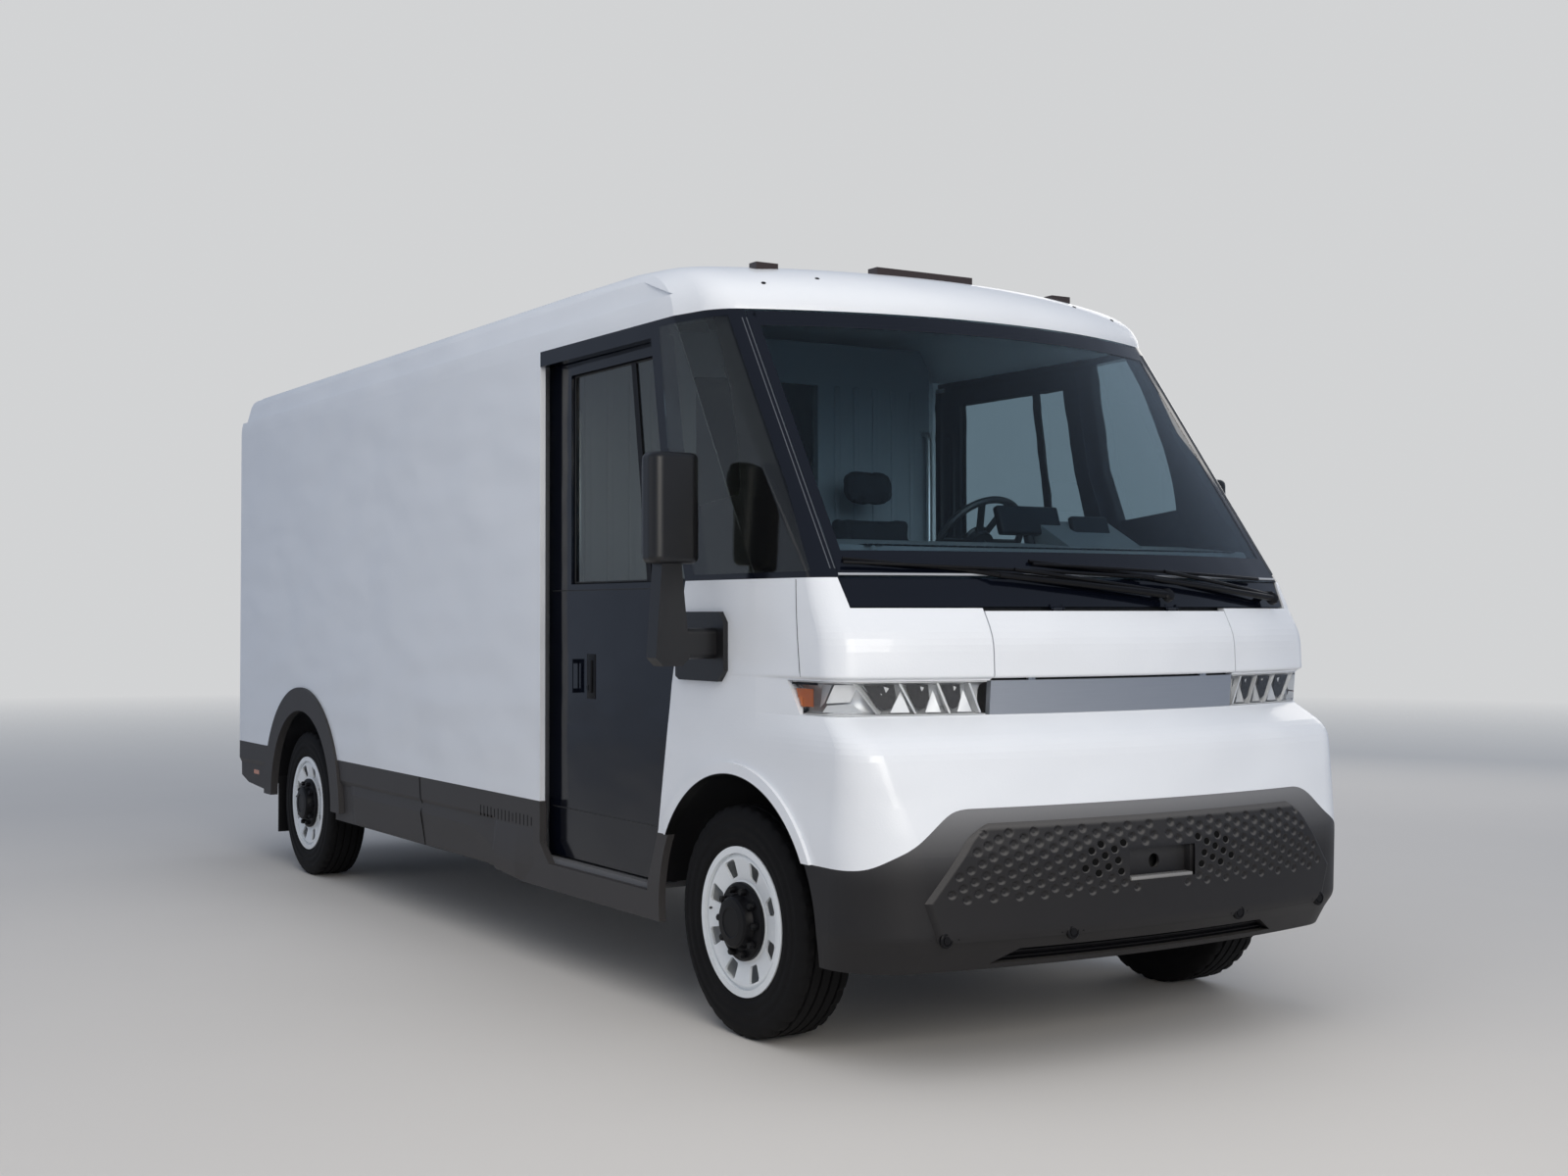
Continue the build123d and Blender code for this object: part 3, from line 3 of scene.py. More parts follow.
import logging
from dataclasses import dataclass
from enum import Enum
from math import atan2, copysign, cos, exp, hypot, pi, radians, sin
from typing import Callable, Iterable, Sequence

import bmesh
import bpy
from mathutils import Matrix, Vector


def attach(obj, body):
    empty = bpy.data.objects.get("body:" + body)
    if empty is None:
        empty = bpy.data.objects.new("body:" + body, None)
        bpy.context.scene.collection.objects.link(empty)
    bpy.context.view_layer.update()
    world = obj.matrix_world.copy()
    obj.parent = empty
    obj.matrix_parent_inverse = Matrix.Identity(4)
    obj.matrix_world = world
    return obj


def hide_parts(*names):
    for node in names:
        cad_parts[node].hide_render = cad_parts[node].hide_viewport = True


log = logging.getLogger("cargo_van")

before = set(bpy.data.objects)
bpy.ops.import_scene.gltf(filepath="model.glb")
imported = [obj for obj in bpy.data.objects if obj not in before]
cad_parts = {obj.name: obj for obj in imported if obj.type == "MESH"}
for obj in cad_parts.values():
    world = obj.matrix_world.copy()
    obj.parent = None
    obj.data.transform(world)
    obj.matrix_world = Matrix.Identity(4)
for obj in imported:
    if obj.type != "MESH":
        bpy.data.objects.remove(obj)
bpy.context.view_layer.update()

Colour = tuple[float, float, float]
Point = tuple[float, float, float]
Pair = tuple[float, float]
Socket = bpy.types.NodeSocket

FRONT_AXLE = -2.469
REAR_AXLE = 2.192
AXLE_HEIGHT = 0.407
BODY_HALF = 1.125


# ---- finishes -----------------------------------------------------------------------------------


class Effect(Enum):
    """Surface effects that several finishes share."""

    RIPPLE = "paint ripple"
    GRAIN = "moulded grain"
    BRUSHED = "brushed streaks"
    WEAVE = "cloth weave"
    RUBBER = "rubber skin"
    PLAIN = "plain"


@dataclass(frozen=True)
class Finish:
    """Colour and shine of one surface, with the effect that breaks it up."""

    name: str
    colour: Colour
    roughness: float
    effect: Effect = Effect.GRAIN
    scale: float = 1.0
    depth: float = 0.2
    tone: float = 0.1
    metallic: float = 0.0
    coat: float = 0.0
    specular: float = 0.5
    dust: float = 0.0
    # strength of a painted highlight: a pale sheen on faces that look up, standing in for light from above
    painted_top_sheen: float = 0.0


WHITE_PAINT = Finish("white paint", (0.80, 0.82, 0.85), 0.32, Effect.RIPPLE, 1.0, 0.11, 0.03, coat=0.35)
BLACK_GLOSS = Finish("black gloss", (0.003, 0.004, 0.008), 0.10, Effect.RIPPLE, 1.6, 0.02, 0.1, specular=0.4)
# its upward faces get the painted top sheen, a highlight standing in for light from above
CLADDING = Finish("dark cladding", (0.0115, 0.0108, 0.0120), 0.52, Effect.GRAIN, 1.0, 0.20, 0.18, dust=0.03,
                  specular=0.35, painted_top_sheen=0.40)
SKIRT = Finish("skirt cladding", (0.044, 0.041, 0.041), 0.55, Effect.GRAIN, 1.0, 0.20, 0.18, dust=0.06,
               specular=0.35)
BLACK_PLASTIC = Finish("black plastic", (0.006, 0.006, 0.007), 0.36, Effect.GRAIN, 1.2, 0.15, 0.15,
                       specular=0.5)
SATIN_BLACK = Finish("satin black", (0.004, 0.004, 0.005), 0.42, Effect.GRAIN, 2.0, 0.10, 0.10, specular=0.18)
CHASSIS = Finish("chassis black", (0.028, 0.028, 0.030), 0.48, Effect.GRAIN, 0.6, 0.35, 0.3, dust=0.5)
CASTING = Finish("cast metal", (0.42, 0.43, 0.44), 0.50, Effect.GRAIN, 0.5, 0.35, 0.2, metallic=0.8)
ALUMINIUM = Finish("bare aluminium", (0.60, 0.61, 0.62), 0.36, Effect.BRUSHED, 1.0, 0.12, 0.12, metallic=1.0)
BRUSHED = Finish("brushed silver", (0.46, 0.49, 0.54), 0.34, Effect.BRUSHED, 1.0, 0.20, 0.16, metallic=0.9)
CHROME = Finish("chrome", (0.86, 0.87, 0.88), 0.07, Effect.PLAIN, metallic=1.0)
WHEEL_PAINT = Finish("wheel white", (0.80, 0.83, 0.85), 0.32, Effect.RIPPLE, 2.0, 0.05, 0.05, coat=0.4,
                     dust=0.2)
RUBBER = Finish("tyre rubber", (0.0045, 0.0043, 0.0048), 0.72, Effect.RUBBER, 1.0, 0.25, 0.25, dust=0.03,
                specular=0.15)
SEAL = Finish("rubber seal", (0.012, 0.012, 0.012), 0.60, Effect.RUBBER, 1.0, 0.2, 0.1)
CLOTH = Finish("seat cloth", (0.020, 0.021, 0.025), 0.88, Effect.WEAVE, 1.0, 0.15, 0.25, specular=0.2)
VINYL = Finish("seat vinyl", (0.020, 0.020, 0.022), 0.45, Effect.GRAIN, 0.8, 0.4, 0.15)
DECK = Finish("deck lining", (0.14, 0.14, 0.145), 0.60, Effect.GRAIN, 0.5, 0.5, 0.2, dust=0.2)
CABIN_GREY = Finish("cabin lining", (0.19, 0.21, 0.235), 0.62, Effect.GRAIN, 1.0, 0.08, 0.10)
DASH = Finish("dash plastic", (0.10, 0.105, 0.11), 0.55, Effect.GRAIN, 1.0, 0.15, 0.15)
AMBER = Finish("amber lens", (0.50, 0.115, 0.010), 0.16, Effect.PLAIN, coat=0.8)
RED = Finish("red lens", (0.50, 0.012, 0.012), 0.16, Effect.PLAIN, coat=0.8)
CLEAR_LENS = Finish("pale lens", (0.78, 0.80, 0.82), 0.12, Effect.PLAIN, coat=0.8)
SILVERED = Finish("silvered bowl", (0.74, 0.75, 0.76), 0.26, Effect.PLAIN, tone=0.05, metallic=0.55)
FACET = Finish("bright facet", (0.86, 0.87, 0.88), 0.22, Effect.PLAIN, tone=0.04, metallic=0.35)
MIRROR = Finish("mirror glass", (0.80, 0.82, 0.84), 0.02, Effect.PLAIN, tone=0.02, metallic=1.0)
# pale grey of the sill is a painted highlight for the light on its upward face
SHELF_HIGHLIGHT = Finish("tray shelf painted highlight", (0.24, 0.235, 0.23), 0.45, Effect.GRAIN, 1.4, 0.10, 0.10)
# near black for painted shade in holes, vent slots and the front arch; also the colour of the dark skirt
# joints
HOLE_SHADE = Finish("hole shadow", (0.004, 0.004, 0.004), 0.90, Effect.PLAIN, tone=0.1, specular=0.1)
SCREEN = Finish("dark display", (0.006, 0.007, 0.010), 0.08, Effect.PLAIN, coat=1.0)
# pale grey for painted highlights along the edges of the windshield glass
POST_HIGHLIGHT = Finish("painted post highlight", (0.085, 0.092, 0.105), 0.35, Effect.PLAIN)
PALE_TRIM = Finish("pale trim", (0.42, 0.44, 0.47), 0.35, Effect.PLAIN)
SMOKED = Finish("smoked lens", (0.030, 0.016, 0.010), 0.16, Effect.PLAIN, coat=0.8)


def new_group(name: str, inputs: Sequence[tuple[str, str, float]],
              outputs: Sequence[str]) -> bpy.types.NodeTree:
    """Makes an empty shader node group with its sockets.

    Args:
        name: name of the group.
        inputs: socket name, socket type and default of each input.
        outputs: names of the value outputs.

    Returns:
        The group's node tree, with its input and output nodes in place.
    """
    tree = bpy.data.node_groups.new(name, "ShaderNodeTree")
    for label, kind, default in inputs:
        socket = tree.interface.new_socket(name=label, in_out="INPUT", socket_type=kind)
        if kind == "NodeSocketFloat":
            socket.default_value = default
    for label in outputs:
        tree.interface.new_socket(name=label, in_out="OUTPUT", socket_type="NodeSocketFloat")
    tree.nodes.new("NodeGroupInput").name = "In"
    tree.nodes.new("NodeGroupOutput").name = "Out"
    return tree


class Wiring:
    """Short ways to add and join nodes in one tree."""

    def __init__(self, tree: bpy.types.NodeTree) -> None:
        """Keeps the tree to work on."""
        self.tree = tree

    def node(self, kind: str, **values: object) -> bpy.types.Node:
        """Adds a node and sets its properties.

        Args:
            kind: Blender's name of the node type.
            values: properties to set on it.

        Returns:
            The new node.
        """
        made = self.tree.nodes.new(kind)
        for key, value in values.items():
            setattr(made, key, value)
        return made

    def join(self, source: object, target: Socket) -> None:
        """Links a socket to another, or sets a plain value on it."""
        if isinstance(source, Socket):
            self.tree.links.new(source, target)
        else:
            target.default_value = source

    def math(self, operation: str, *values: object, clamp: bool = False) -> Socket:
        """Adds a Math node on sockets or numbers and returns its result."""
        made = self.node("ShaderNodeMath", operation=operation, use_clamp=clamp)
        for value, socket in zip(values, made.inputs):
            self.join(value, socket)
        return made.outputs[0]

    def noise(self, place: Socket, scale: object, detail: float = 2.0) -> Socket:
        """Adds a Noise texture at a place and returns its value."""
        made = self.node("ShaderNodeTexNoise")
        self.join(place, made.inputs["Vector"])
        self.join(scale, made.inputs["Scale"])
        made.inputs["Detail"].default_value = detail
        return made.outputs["Fac"]

    def stretch(self, place: Socket, scale: Point) -> Socket:
        """Scales a place by a different amount along each axis."""
        made = self.node("ShaderNodeVectorMath", operation="MULTIPLY")
        self.join(place, made.inputs[0])
        made.inputs[1].default_value = scale
        return made.outputs[0]

    def between(self, value: Socket, low: object, high: object, soft: float) -> Socket:
        """Mask of where a value lies between two limits, with soft edges."""
        made = []
        for start, end, gain in ((low, value, 1.0), (value, high, 1.0)):
            step = self.math("SUBTRACT", end, start)
            made.append(self.math("DIVIDE", step, soft * gain, clamp=True))
        return self.math("MULTIPLY", *made)

    def split(self, place: Socket) -> tuple[Socket, ...]:
        """Parts a place into its X, Y and Z."""
        made = self.node("ShaderNodeSeparateXYZ")
        self.join(place, made.inputs[0])
        return tuple(made.outputs)


class EffectGroups:
    """Node groups for the effects, each built once and shared by every material."""

    def __init__(self) -> None:
        """Starts with no group built."""
        self.built: dict[Effect, bpy.types.NodeTree] = {}
        # group that mixes dust low down with a painted highlight on upward faces
        self.dust: bpy.types.NodeTree | None = None

    def effect(self, effect: Effect) -> bpy.types.NodeTree:
        """Gives an effect's group, built on first use.

        Args:
            effect: which effect is wanted.

        Returns:
            A group with Vector and Scale in, Height and Shade out.
        """
        if effect not in self.built:
            tree = new_group(effect.value,
                             (("Vector", "NodeSocketVector", 0), ("Scale", "NodeSocketFloat", 1.0)),
                             ("Height", "Shade"))
            wires = Wiring(tree)
            start = tree.nodes["In"]
            recipe: dict[Effect, Callable[..., tuple[object, object]]] = {
                Effect.RIPPLE: self.ripple, Effect.GRAIN: self.grain, Effect.BRUSHED: self.brushed,
                Effect.WEAVE: self.weave, Effect.RUBBER: self.rubber, Effect.PLAIN: self.plain}
            height, shade = recipe[effect](wires, start.outputs["Vector"], start.outputs["Scale"])
            wires.join(height, tree.nodes["Out"].inputs["Height"])
            wires.join(shade, tree.nodes["Out"].inputs["Shade"])
            self.built[effect] = tree
        return self.built[effect]

    @staticmethod
    def ripple(wires: Wiring, place: Socket, scale: Socket) -> tuple[object, object]:
        """Long soft waves of a sprayed panel with a fine orange peel on them."""
        broad = wires.noise(wires.stretch(place, (1.0, 0.7, 1.6)), wires.math("MULTIPLY", scale, 2.2), 1.0)
        peel = wires.noise(place, wires.math("MULTIPLY", scale, 160.0), 1.0)
        height = wires.math("ADD", broad, wires.math("MULTIPLY", peel, 0.012))
        return height, wires.noise(place, wires.math("MULTIPLY", scale, 1.3), 2.0)

    @staticmethod
    def grain(wires: Wiring, place: Socket, scale: Socket) -> tuple[object, object]:
        """Pebbled grain of a moulded part with broad flow marks."""
        cells = wires.node("ShaderNodeTexVoronoi")
        wires.join(place, cells.inputs["Vector"])
        wires.join(wires.math("MULTIPLY", scale, 520.0), cells.inputs["Scale"])
        fine = wires.noise(place, wires.math("MULTIPLY", scale, 900.0), 2.0)
        height = wires.math("ADD", wires.math("MULTIPLY", cells.outputs["Distance"], 0.0007),
                            wires.math("MULTIPLY", fine, 0.0003))
        return height, wires.noise(place, wires.math("MULTIPLY", scale, 3.1), 5.0)

    @staticmethod
    def brushed(wires: Wiring, place: Socket, scale: Socket) -> tuple[object, object]:
        """Long fine scratches that run across the van."""
        drawn = wires.stretch(place, (3.0, 60.0, 900.0))
        streaks = wires.noise(drawn, scale, 3.0)
        return wires.math("MULTIPLY", streaks, 0.001), streaks

    @staticmethod
    def weave(wires: Wiring, place: Socket, scale: Socket) -> tuple[object, object]:
        """Over-and-under threads of a flat woven cloth."""
        waves = []
        for axis in ("X", "Y", "Z"):
            wave = wires.node("ShaderNodeTexWave", bands_direction=axis)
            wires.join(place, wave.inputs["Vector"])
            wires.join(wires.math("MULTIPLY", scale, 130.0), wave.inputs["Scale"])
            waves.append(wave.outputs["Fac"])
        crossed = wires.math("MAXIMUM", wires.math("MAXIMUM", waves[0], waves[1]), waves[2])
        return wires.math("MULTIPLY", crossed, 0.003), wires.math("MULTIPLY", crossed, 1.0)

    @staticmethod
    def rubber(wires: Wiring, place: Socket, scale: Socket) -> tuple[object, object]:
        """Dull skin of used rubber."""
        fine = wires.noise(place, wires.math("MULTIPLY", scale, 420.0), 4.0)
        height = wires.math("MULTIPLY", fine, 0.002)
        return height, wires.noise(place, wires.math("MULTIPLY", scale, 9.0), 6.0)

    @staticmethod
    def plain(wires: Wiring, place: Socket, scale: Socket) -> tuple[object, object]:
        """Faint unevenness of a polished part."""
        return 0.0, wires.noise(place, wires.math("MULTIPLY", scale, 12.0), 2.0)

    def dust_and_sheen(self) -> bpy.types.NodeTree:
        """Group for dust from the road, thicker low down, and for a painted highlight: a pale sheen on faces
        that look up, standing in for light from above.

        Returns:
            A group with Vector, Normal, Amount and the strength of the painted top sheen in, and the Mask of
            dust and sheen out.
        """
        if self.dust is None:
            self.dust = new_group("road dust and painted top sheen", (
                ("Vector", "NodeSocketVector", 0), ("Normal", "NodeSocketVector", 0),
                ("Amount", "NodeSocketFloat", 0.3), ("Top Sheen", "NodeSocketFloat", 0.0)), ("Mask",))
            wires = Wiring(self.dust)
            start = self.dust.nodes["In"]
            height = wires.split(start.outputs["Vector"])[2]
            low = wires.math("SUBTRACT", 1.0, wires.math("DIVIDE", height, 1.1, clamp=True))
            patches = wires.noise(start.outputs["Vector"], 6.0, 6.0)
            # painted highlight: faces that look up are lightened as if lit from above
            facing = wires.split(start.outputs["Normal"])[2]
            upward = wires.math("DIVIDE", wires.math("SUBTRACT", facing, 0.12), 0.5, clamp=True)
            mask = wires.math("MULTIPLY_ADD", wires.math("MULTIPLY", low, patches), start.outputs["Amount"],
                              wires.math("MULTIPLY", upward, start.outputs["Top Sheen"]), clamp=True)
            wires.join(mask, self.dust.nodes["Out"].inputs["Mask"])
        return self.dust


class Dresser:
    """Makes materials from finishes and puts them on pieces."""

    def __init__(self) -> None:
        """Starts with an empty set of materials."""
        self.groups = EffectGroups()
        self.made: dict[str, bpy.types.Material] = {}

    def surface(self, finish: Finish, name: str = "") -> tuple[
            bpy.types.Material, Wiring, bpy.types.Node, Socket]:
        """Builds a finish's Principled material with its effect, its dust and any painted top sheen.

        Args:
            finish: the finish to build.
            name: name of the material, the finish's own if empty.

        Returns:
            The material, its wiring, its shader, and the socket of its base colour as mixed so far.
        """
        material = bpy.data.materials.new(name or finish.name)
        material.use_nodes = True
        tree = material.node_tree
        wires = Wiring(tree)
        shader = tree.nodes["Principled BSDF"]
        shader.inputs["Metallic"].default_value = finish.metallic
        shader.inputs["Coat Weight"].default_value = finish.coat
        shader.inputs["Coat Roughness"].default_value = 0.04
        shader.inputs["Specular IOR Level"].default_value = finish.specular
        place = wires.node("ShaderNodeTexCoord").outputs["Object"]
        effect = wires.node("ShaderNodeGroup", node_tree=self.groups.effect(finish.effect))
        wires.join(place, effect.inputs["Vector"])
        effect.inputs["Scale"].default_value = finish.scale
        shade = wires.math("MULTIPLY_ADD", effect.outputs["Shade"], finish.tone, 1.0 - finish.tone / 2)
        tint = wires.node("ShaderNodeMix", data_type="RGBA", blend_type="MULTIPLY")
        tint.inputs["Factor"].default_value = 1.0
        tint.inputs["A"].default_value = (*finish.colour, 1.0)
        wires.join(shade, tint.inputs["B"])
        colour = tint.outputs["Result"]
        # dust low down, plus a painted highlight on faces that look up
        if finish.dust or finish.painted_top_sheen:
            dust_and_sheen = wires.node("ShaderNodeGroup", node_tree=self.groups.dust_and_sheen())
            wires.join(place, dust_and_sheen.inputs["Vector"])
            wires.join(wires.node("ShaderNodeNewGeometry").outputs["Normal"], dust_and_sheen.inputs["Normal"])
            dust_and_sheen.inputs["Amount"].default_value = finish.dust
            dust_and_sheen.inputs["Top Sheen"].default_value = finish.painted_top_sheen
            dust_and_sheen_mix = wires.node("ShaderNodeMix", data_type="RGBA")
            wires.join(dust_and_sheen.outputs["Mask"], dust_and_sheen_mix.inputs["Factor"])
            wires.join(colour, dust_and_sheen_mix.inputs["A"])
            # colour of the dust, also used for the painted highlight on upward faces
            dust_and_sheen_mix.inputs["B"].default_value = (0.20, 0.19, 0.18, 1.0)
            colour = dust_and_sheen_mix.outputs["Result"]
        wires.join(colour, shader.inputs["Base Color"])
        rough = wires.math("MULTIPLY_ADD", effect.outputs["Shade"], finish.tone * 0.6,
                           finish.roughness - finish.tone * 0.3, clamp=True)
        wires.join(rough, shader.inputs["Roughness"])
        if finish.effect is not Effect.PLAIN:
            bump = wires.node("ShaderNodeBump")
            bump.inputs["Strength"].default_value = min(1.0, finish.depth)
            bump.inputs["Distance"].default_value = 0.3 if finish.effect is Effect.RIPPLE else 1.0
            wires.join(effect.outputs["Height"], bump.inputs["Height"])
            wires.join(bump.outputs["Normal"], shader.inputs["Normal"])
        return material, wires, shader, colour

    def of(self, finish: Finish) -> bpy.types.Material:
        """Gives a finish's material, built on first use."""
        if finish.name not in self.made:
            self.made[finish.name] = self.surface(finish)[0]
        return self.made[finish.name]

    def two_tone(self, name: str, finish: Finish, other: Colour,
                 where: Callable[[Wiring, tuple[Socket, ...]], Socket]) -> bpy.types.Material:
        """Makes a finish that turns to another colour over part of the van.

        Args:
            name: name of the material.
            finish: the finish it starts from.
            other: the other colour.
            where: builds the mask of the other colour from the parts of the place.

        Returns:
            The material.
        """
        material, wires, shader, colour = self.surface(finish, name)
        mask = where(wires, wires.split(wires.node("ShaderNodeTexCoord").outputs["Object"]))
        mix = wires.node("ShaderNodeMix", data_type="RGBA")
        wires.join(mask, mix.inputs["Factor"])
        wires.join(colour, mix.inputs["A"])
        mix.inputs["B"].default_value = (*other, 1.0)
        wires.join(mix.outputs["Result"], shader.inputs["Base Color"])
        return material

    def glass(self, name: str, tint: Colour, shadow_tint: Colour, bend: float = 1.3) -> bpy.types.Material:
        """Makes tinted glass that lets lamps shine through.

        Args:
            name: name of the material.
            tint: colour of what is seen through it.
            shadow_tint: colour of the light that passes.
            bend: its index of refraction.

        Returns:
            The material.
        """
        if name in self.made:
            return self.made[name]
        material, wires, shader, _ = self.surface(Finish(name, tint, 0.02, Effect.PLAIN, tone=0.03))
        shader.inputs["Transmission Weight"].default_value = 1.0
        for link in list(shader.inputs["Roughness"].links):
            wires.tree.links.remove(link)
        shader.inputs["Roughness"].default_value = 0.0
        shader.inputs["IOR"].default_value = bend
        clear = wires.node("ShaderNodeBsdfTransparent")
        clear.inputs["Color"].default_value = (*shadow_tint, 1.0)
        path = wires.node("ShaderNodeLightPath")
        mix = wires.node("ShaderNodeMixShader")
        wires.join(path.outputs["Is Shadow Ray"], mix.inputs[0])
        wires.join(shader.outputs[0], mix.inputs[1])
        wires.join(clear.outputs[0], mix.inputs[2])
        wires.join(mix.outputs[0], wires.tree.nodes["Material Output"].inputs["Surface"])
        self.made[name] = material
        return material

    def put(self, piece: bpy.types.Object, material: bpy.types.Material) -> None:
        """Puts one material on all of a piece."""
        for _ in range(1 - len(piece.data.materials)):
            piece.data.materials.append(None)
        for index in range(len(piece.data.materials)):
            piece.data.materials[index] = material


dresser = Dresser()


# ---- shared building tools ----------------------------------------------------------------------


def place_mesh(name: str, mesh: bpy.types.Mesh, body: str, finish: Finish | bpy.types.Material,
               smooth: bool = True) -> bpy.types.Object:
    """Makes a piece from a mesh, dresses it and seats it on its body.

    Args:
        name: name of the piece.
        mesh: its mesh, in metres in the row frame.
        body: CAD body it rides on.
        finish: finish or ready material.
        smooth: whether its faces are shaded smooth, with creases at sharp edges.

    Returns:
        The new piece.
    """
    piece = bpy.data.objects.new(name, mesh)
    bpy.context.scene.collection.objects.link(piece)
    if smooth:
        mesh.shade_smooth()
        mesh.set_sharp_from_angle(angle=radians(35))
    dresser.put(piece, finish if isinstance(finish, bpy.types.Material) else dresser.of(finish))
    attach(piece, body)
    return piece


class Maker:
    """Gathers simple solids into one mesh."""

    def __init__(self) -> None:
        """Starts an empty mesh."""
        self.mesh = bmesh.new()

    def box(self, low: Point, high: Point, bevel: float = 0.0, turn: Matrix | None = None,
            segments: int = 2) -> "Maker":
        """Adds a box between two corners with rounded edges.

        Args:
            low: lowest corner.
            high: highest corner.
            bevel: radius of its edges.
            turn: matrix applied about the box's middle.
            segments: steps in each rounded edge.

        Returns:
            The maker itself.
        """
        middle = (Vector(low) + Vector(high)) / 2
        size = Vector(high) - Vector(low)
        made = bmesh.ops.create_cube(self.mesh, size=1.0, matrix=Matrix.Diagonal((*size, 1.0)))
        verts = made["verts"]
        if bevel:
            edges = list(dict.fromkeys(e for v in verts for e in v.link_edges))
            made = bmesh.ops.bevel(self.mesh, geom=edges, offset=bevel, segments=segments, profile=0.5,
                                   affect="EDGES", clamp_overlap=True)
            rounded = [v for f in made["faces"] for v in f.verts]
            verts = list(dict.fromkeys(rounded + [v for v in verts if v.is_valid]))
        pose = Matrix.Translation(middle) @ (turn.to_4x4() if turn else Matrix.Identity(4))
        bmesh.ops.transform(self.mesh, matrix=pose, verts=verts)
        return self

    def lathe(self, profile: Sequence[Pair], centre: Point, axis: Vector, steps: int = 48,
              closed: bool = False) -> "Maker":
        """Turns a profile of (radius, height) points about an axis.

        Args:
            profile: points from one end to the other.
            centre: where height 0 lies on the axis.
            axis: direction of the heights.
            steps: divisions of the circle.
            closed: whether the profile closes on itself.

        Returns:
            The maker itself.
        """
        turn = Vector(axis).normalized().to_track_quat("Z", "Y").to_matrix()
        rings = []
        for radius, height in profile:
            count = steps if radius > 1e-6 else 1
            rings.append([self.mesh.verts.new(Vector(centre) + turn @ Vector((
                radius * cos(2 * pi * n / steps), radius * sin(2 * pi * n / steps), height)))
                for n in range(count)])
        pairs = list(zip(rings, rings[1:])) + ([(rings[-1], rings[0])] if closed else [])
        for one, two in pairs:
            self.bridge(one, two)
        return self

    def bridge(self, one: Sequence[bmesh.types.BMVert], two: Sequence[bmesh.types.BMVert]) -> None:
        """Joins two rings of points with faces, where one may be a single point."""
        count = max(len(one), len(two))
        for n in range(count):
            corners = [one[n % len(one)], one[(n + 1) % len(one)], two[(n + 1) % len(two)], two[n % len(two)]]
            unique = list(dict.fromkeys(corners))
            if len(unique) >= 3:
                self.mesh.faces.new(unique)

    def bridge_open(self, one: Sequence[bmesh.types.BMVert], two: Sequence[bmesh.types.BMVert]) -> None:
        """Joins two rows of points with faces, closed from the last point to the first."""
        for n in range(len(one)):
            k = (n + 1) % len(one)
            self.mesh.faces.new((one[n], one[k], two[k], two[n]))

    def tube(self, points: Sequence[Point], radius: float | Sequence[float], sides: int = 12) -> "Maker":
        """Runs a round tube along points, with closed ends.

        Args:
            points: the middle line.
            radius: one radius, or one for each point.
            sides: divisions of the circle.

        Returns:
            The maker itself.
        """
        line = [Vector(p) for p in points]
        radii = [radius] * len(line) if isinstance(radius, (int, float)) else list(radius)
        normal = None
        rings = []
        for n, here in enumerate(line):
            ahead = (line[min(n + 1, len(line) - 1)] - line[max(n - 1, 0)]).normalized()
            if normal is None:
                normal = ahead.orthogonal().normalized()
            normal = (normal - ahead * normal.dot(ahead)).normalized()
            other = ahead.cross(normal)
            rings.append([self.mesh.verts.new(here + radii[n] * (normal * cos(a) + other * sin(a)))
                          for a in (2 * pi * k / sides for k in range(sides))])
        for one, two in zip(rings, rings[1:]):
            self.bridge(one, two)
        self.mesh.faces.new(list(reversed(rings[0])))
        self.mesh.faces.new(rings[-1])
        return self

    def slab(self, outline: Sequence[Point], push: Vector) -> "Maker":
        """Raises a closed outline of points into a flat-sided slab along a direction."""
        low = [self.mesh.verts.new(p) for p in outline]
        high = [self.mesh.verts.new(Vector(p) + push) for p in outline]
        self.mesh.faces.new(list(reversed(low)))
        self.mesh.faces.new(high)
        self.bridge(low, high)
        return self

    @staticmethod
    def rim(grid: list[list[bmesh.types.BMVert]]) -> list[bmesh.types.BMVert]:
        """Outline of a grid, once around."""
        sides = [row[-1] for row in grid[1:]], [row[0] for row in grid[-2:0:-1]]
        return grid[0] + sides[0] + grid[-1][-2::-1] + sides[1]

    def sheet(self, rows: Sequence[Sequence[Point]], thickness: float = 0.0,
              out: Vector | None = None) -> "Maker":
        """Lays a grid of faces over rows of points, thickened along a direction if one is given.

        Args:
            rows: rows of points, all as long.
            thickness: depth of the sheet.
            out: direction from the back of the sheet to its face.

        Returns:
            The maker itself.
        """
        grid = [[self.mesh.verts.new(p) for p in row] for row in rows]
        for upper, lower in zip(grid, grid[1:]):
            for n in range(len(upper) - 1):
                self.mesh.faces.new((upper[n], upper[n + 1], lower[n + 1], lower[n]))
        if thickness and out is not None:
            back = [[self.mesh.verts.new(Vector(p) - out * thickness) for p in row] for row in rows]
            for upper, lower in zip(back, back[1:]):
                for n in range(len(upper) - 1):
                    self.mesh.faces.new((lower[n], lower[n + 1], upper[n + 1], upper[n]))
            self.bridge(self.rim(grid), self.rim(back))
        return self

    def done(self, name: str) -> bpy.types.Mesh:
        """Turns the gathered solids into a Blender mesh."""
        bmesh.ops.recalc_face_normals(self.mesh, faces=self.mesh.faces)
        mesh = bpy.data.meshes.new(name)
        self.mesh.to_mesh(mesh)
        self.mesh.free()
        return mesh


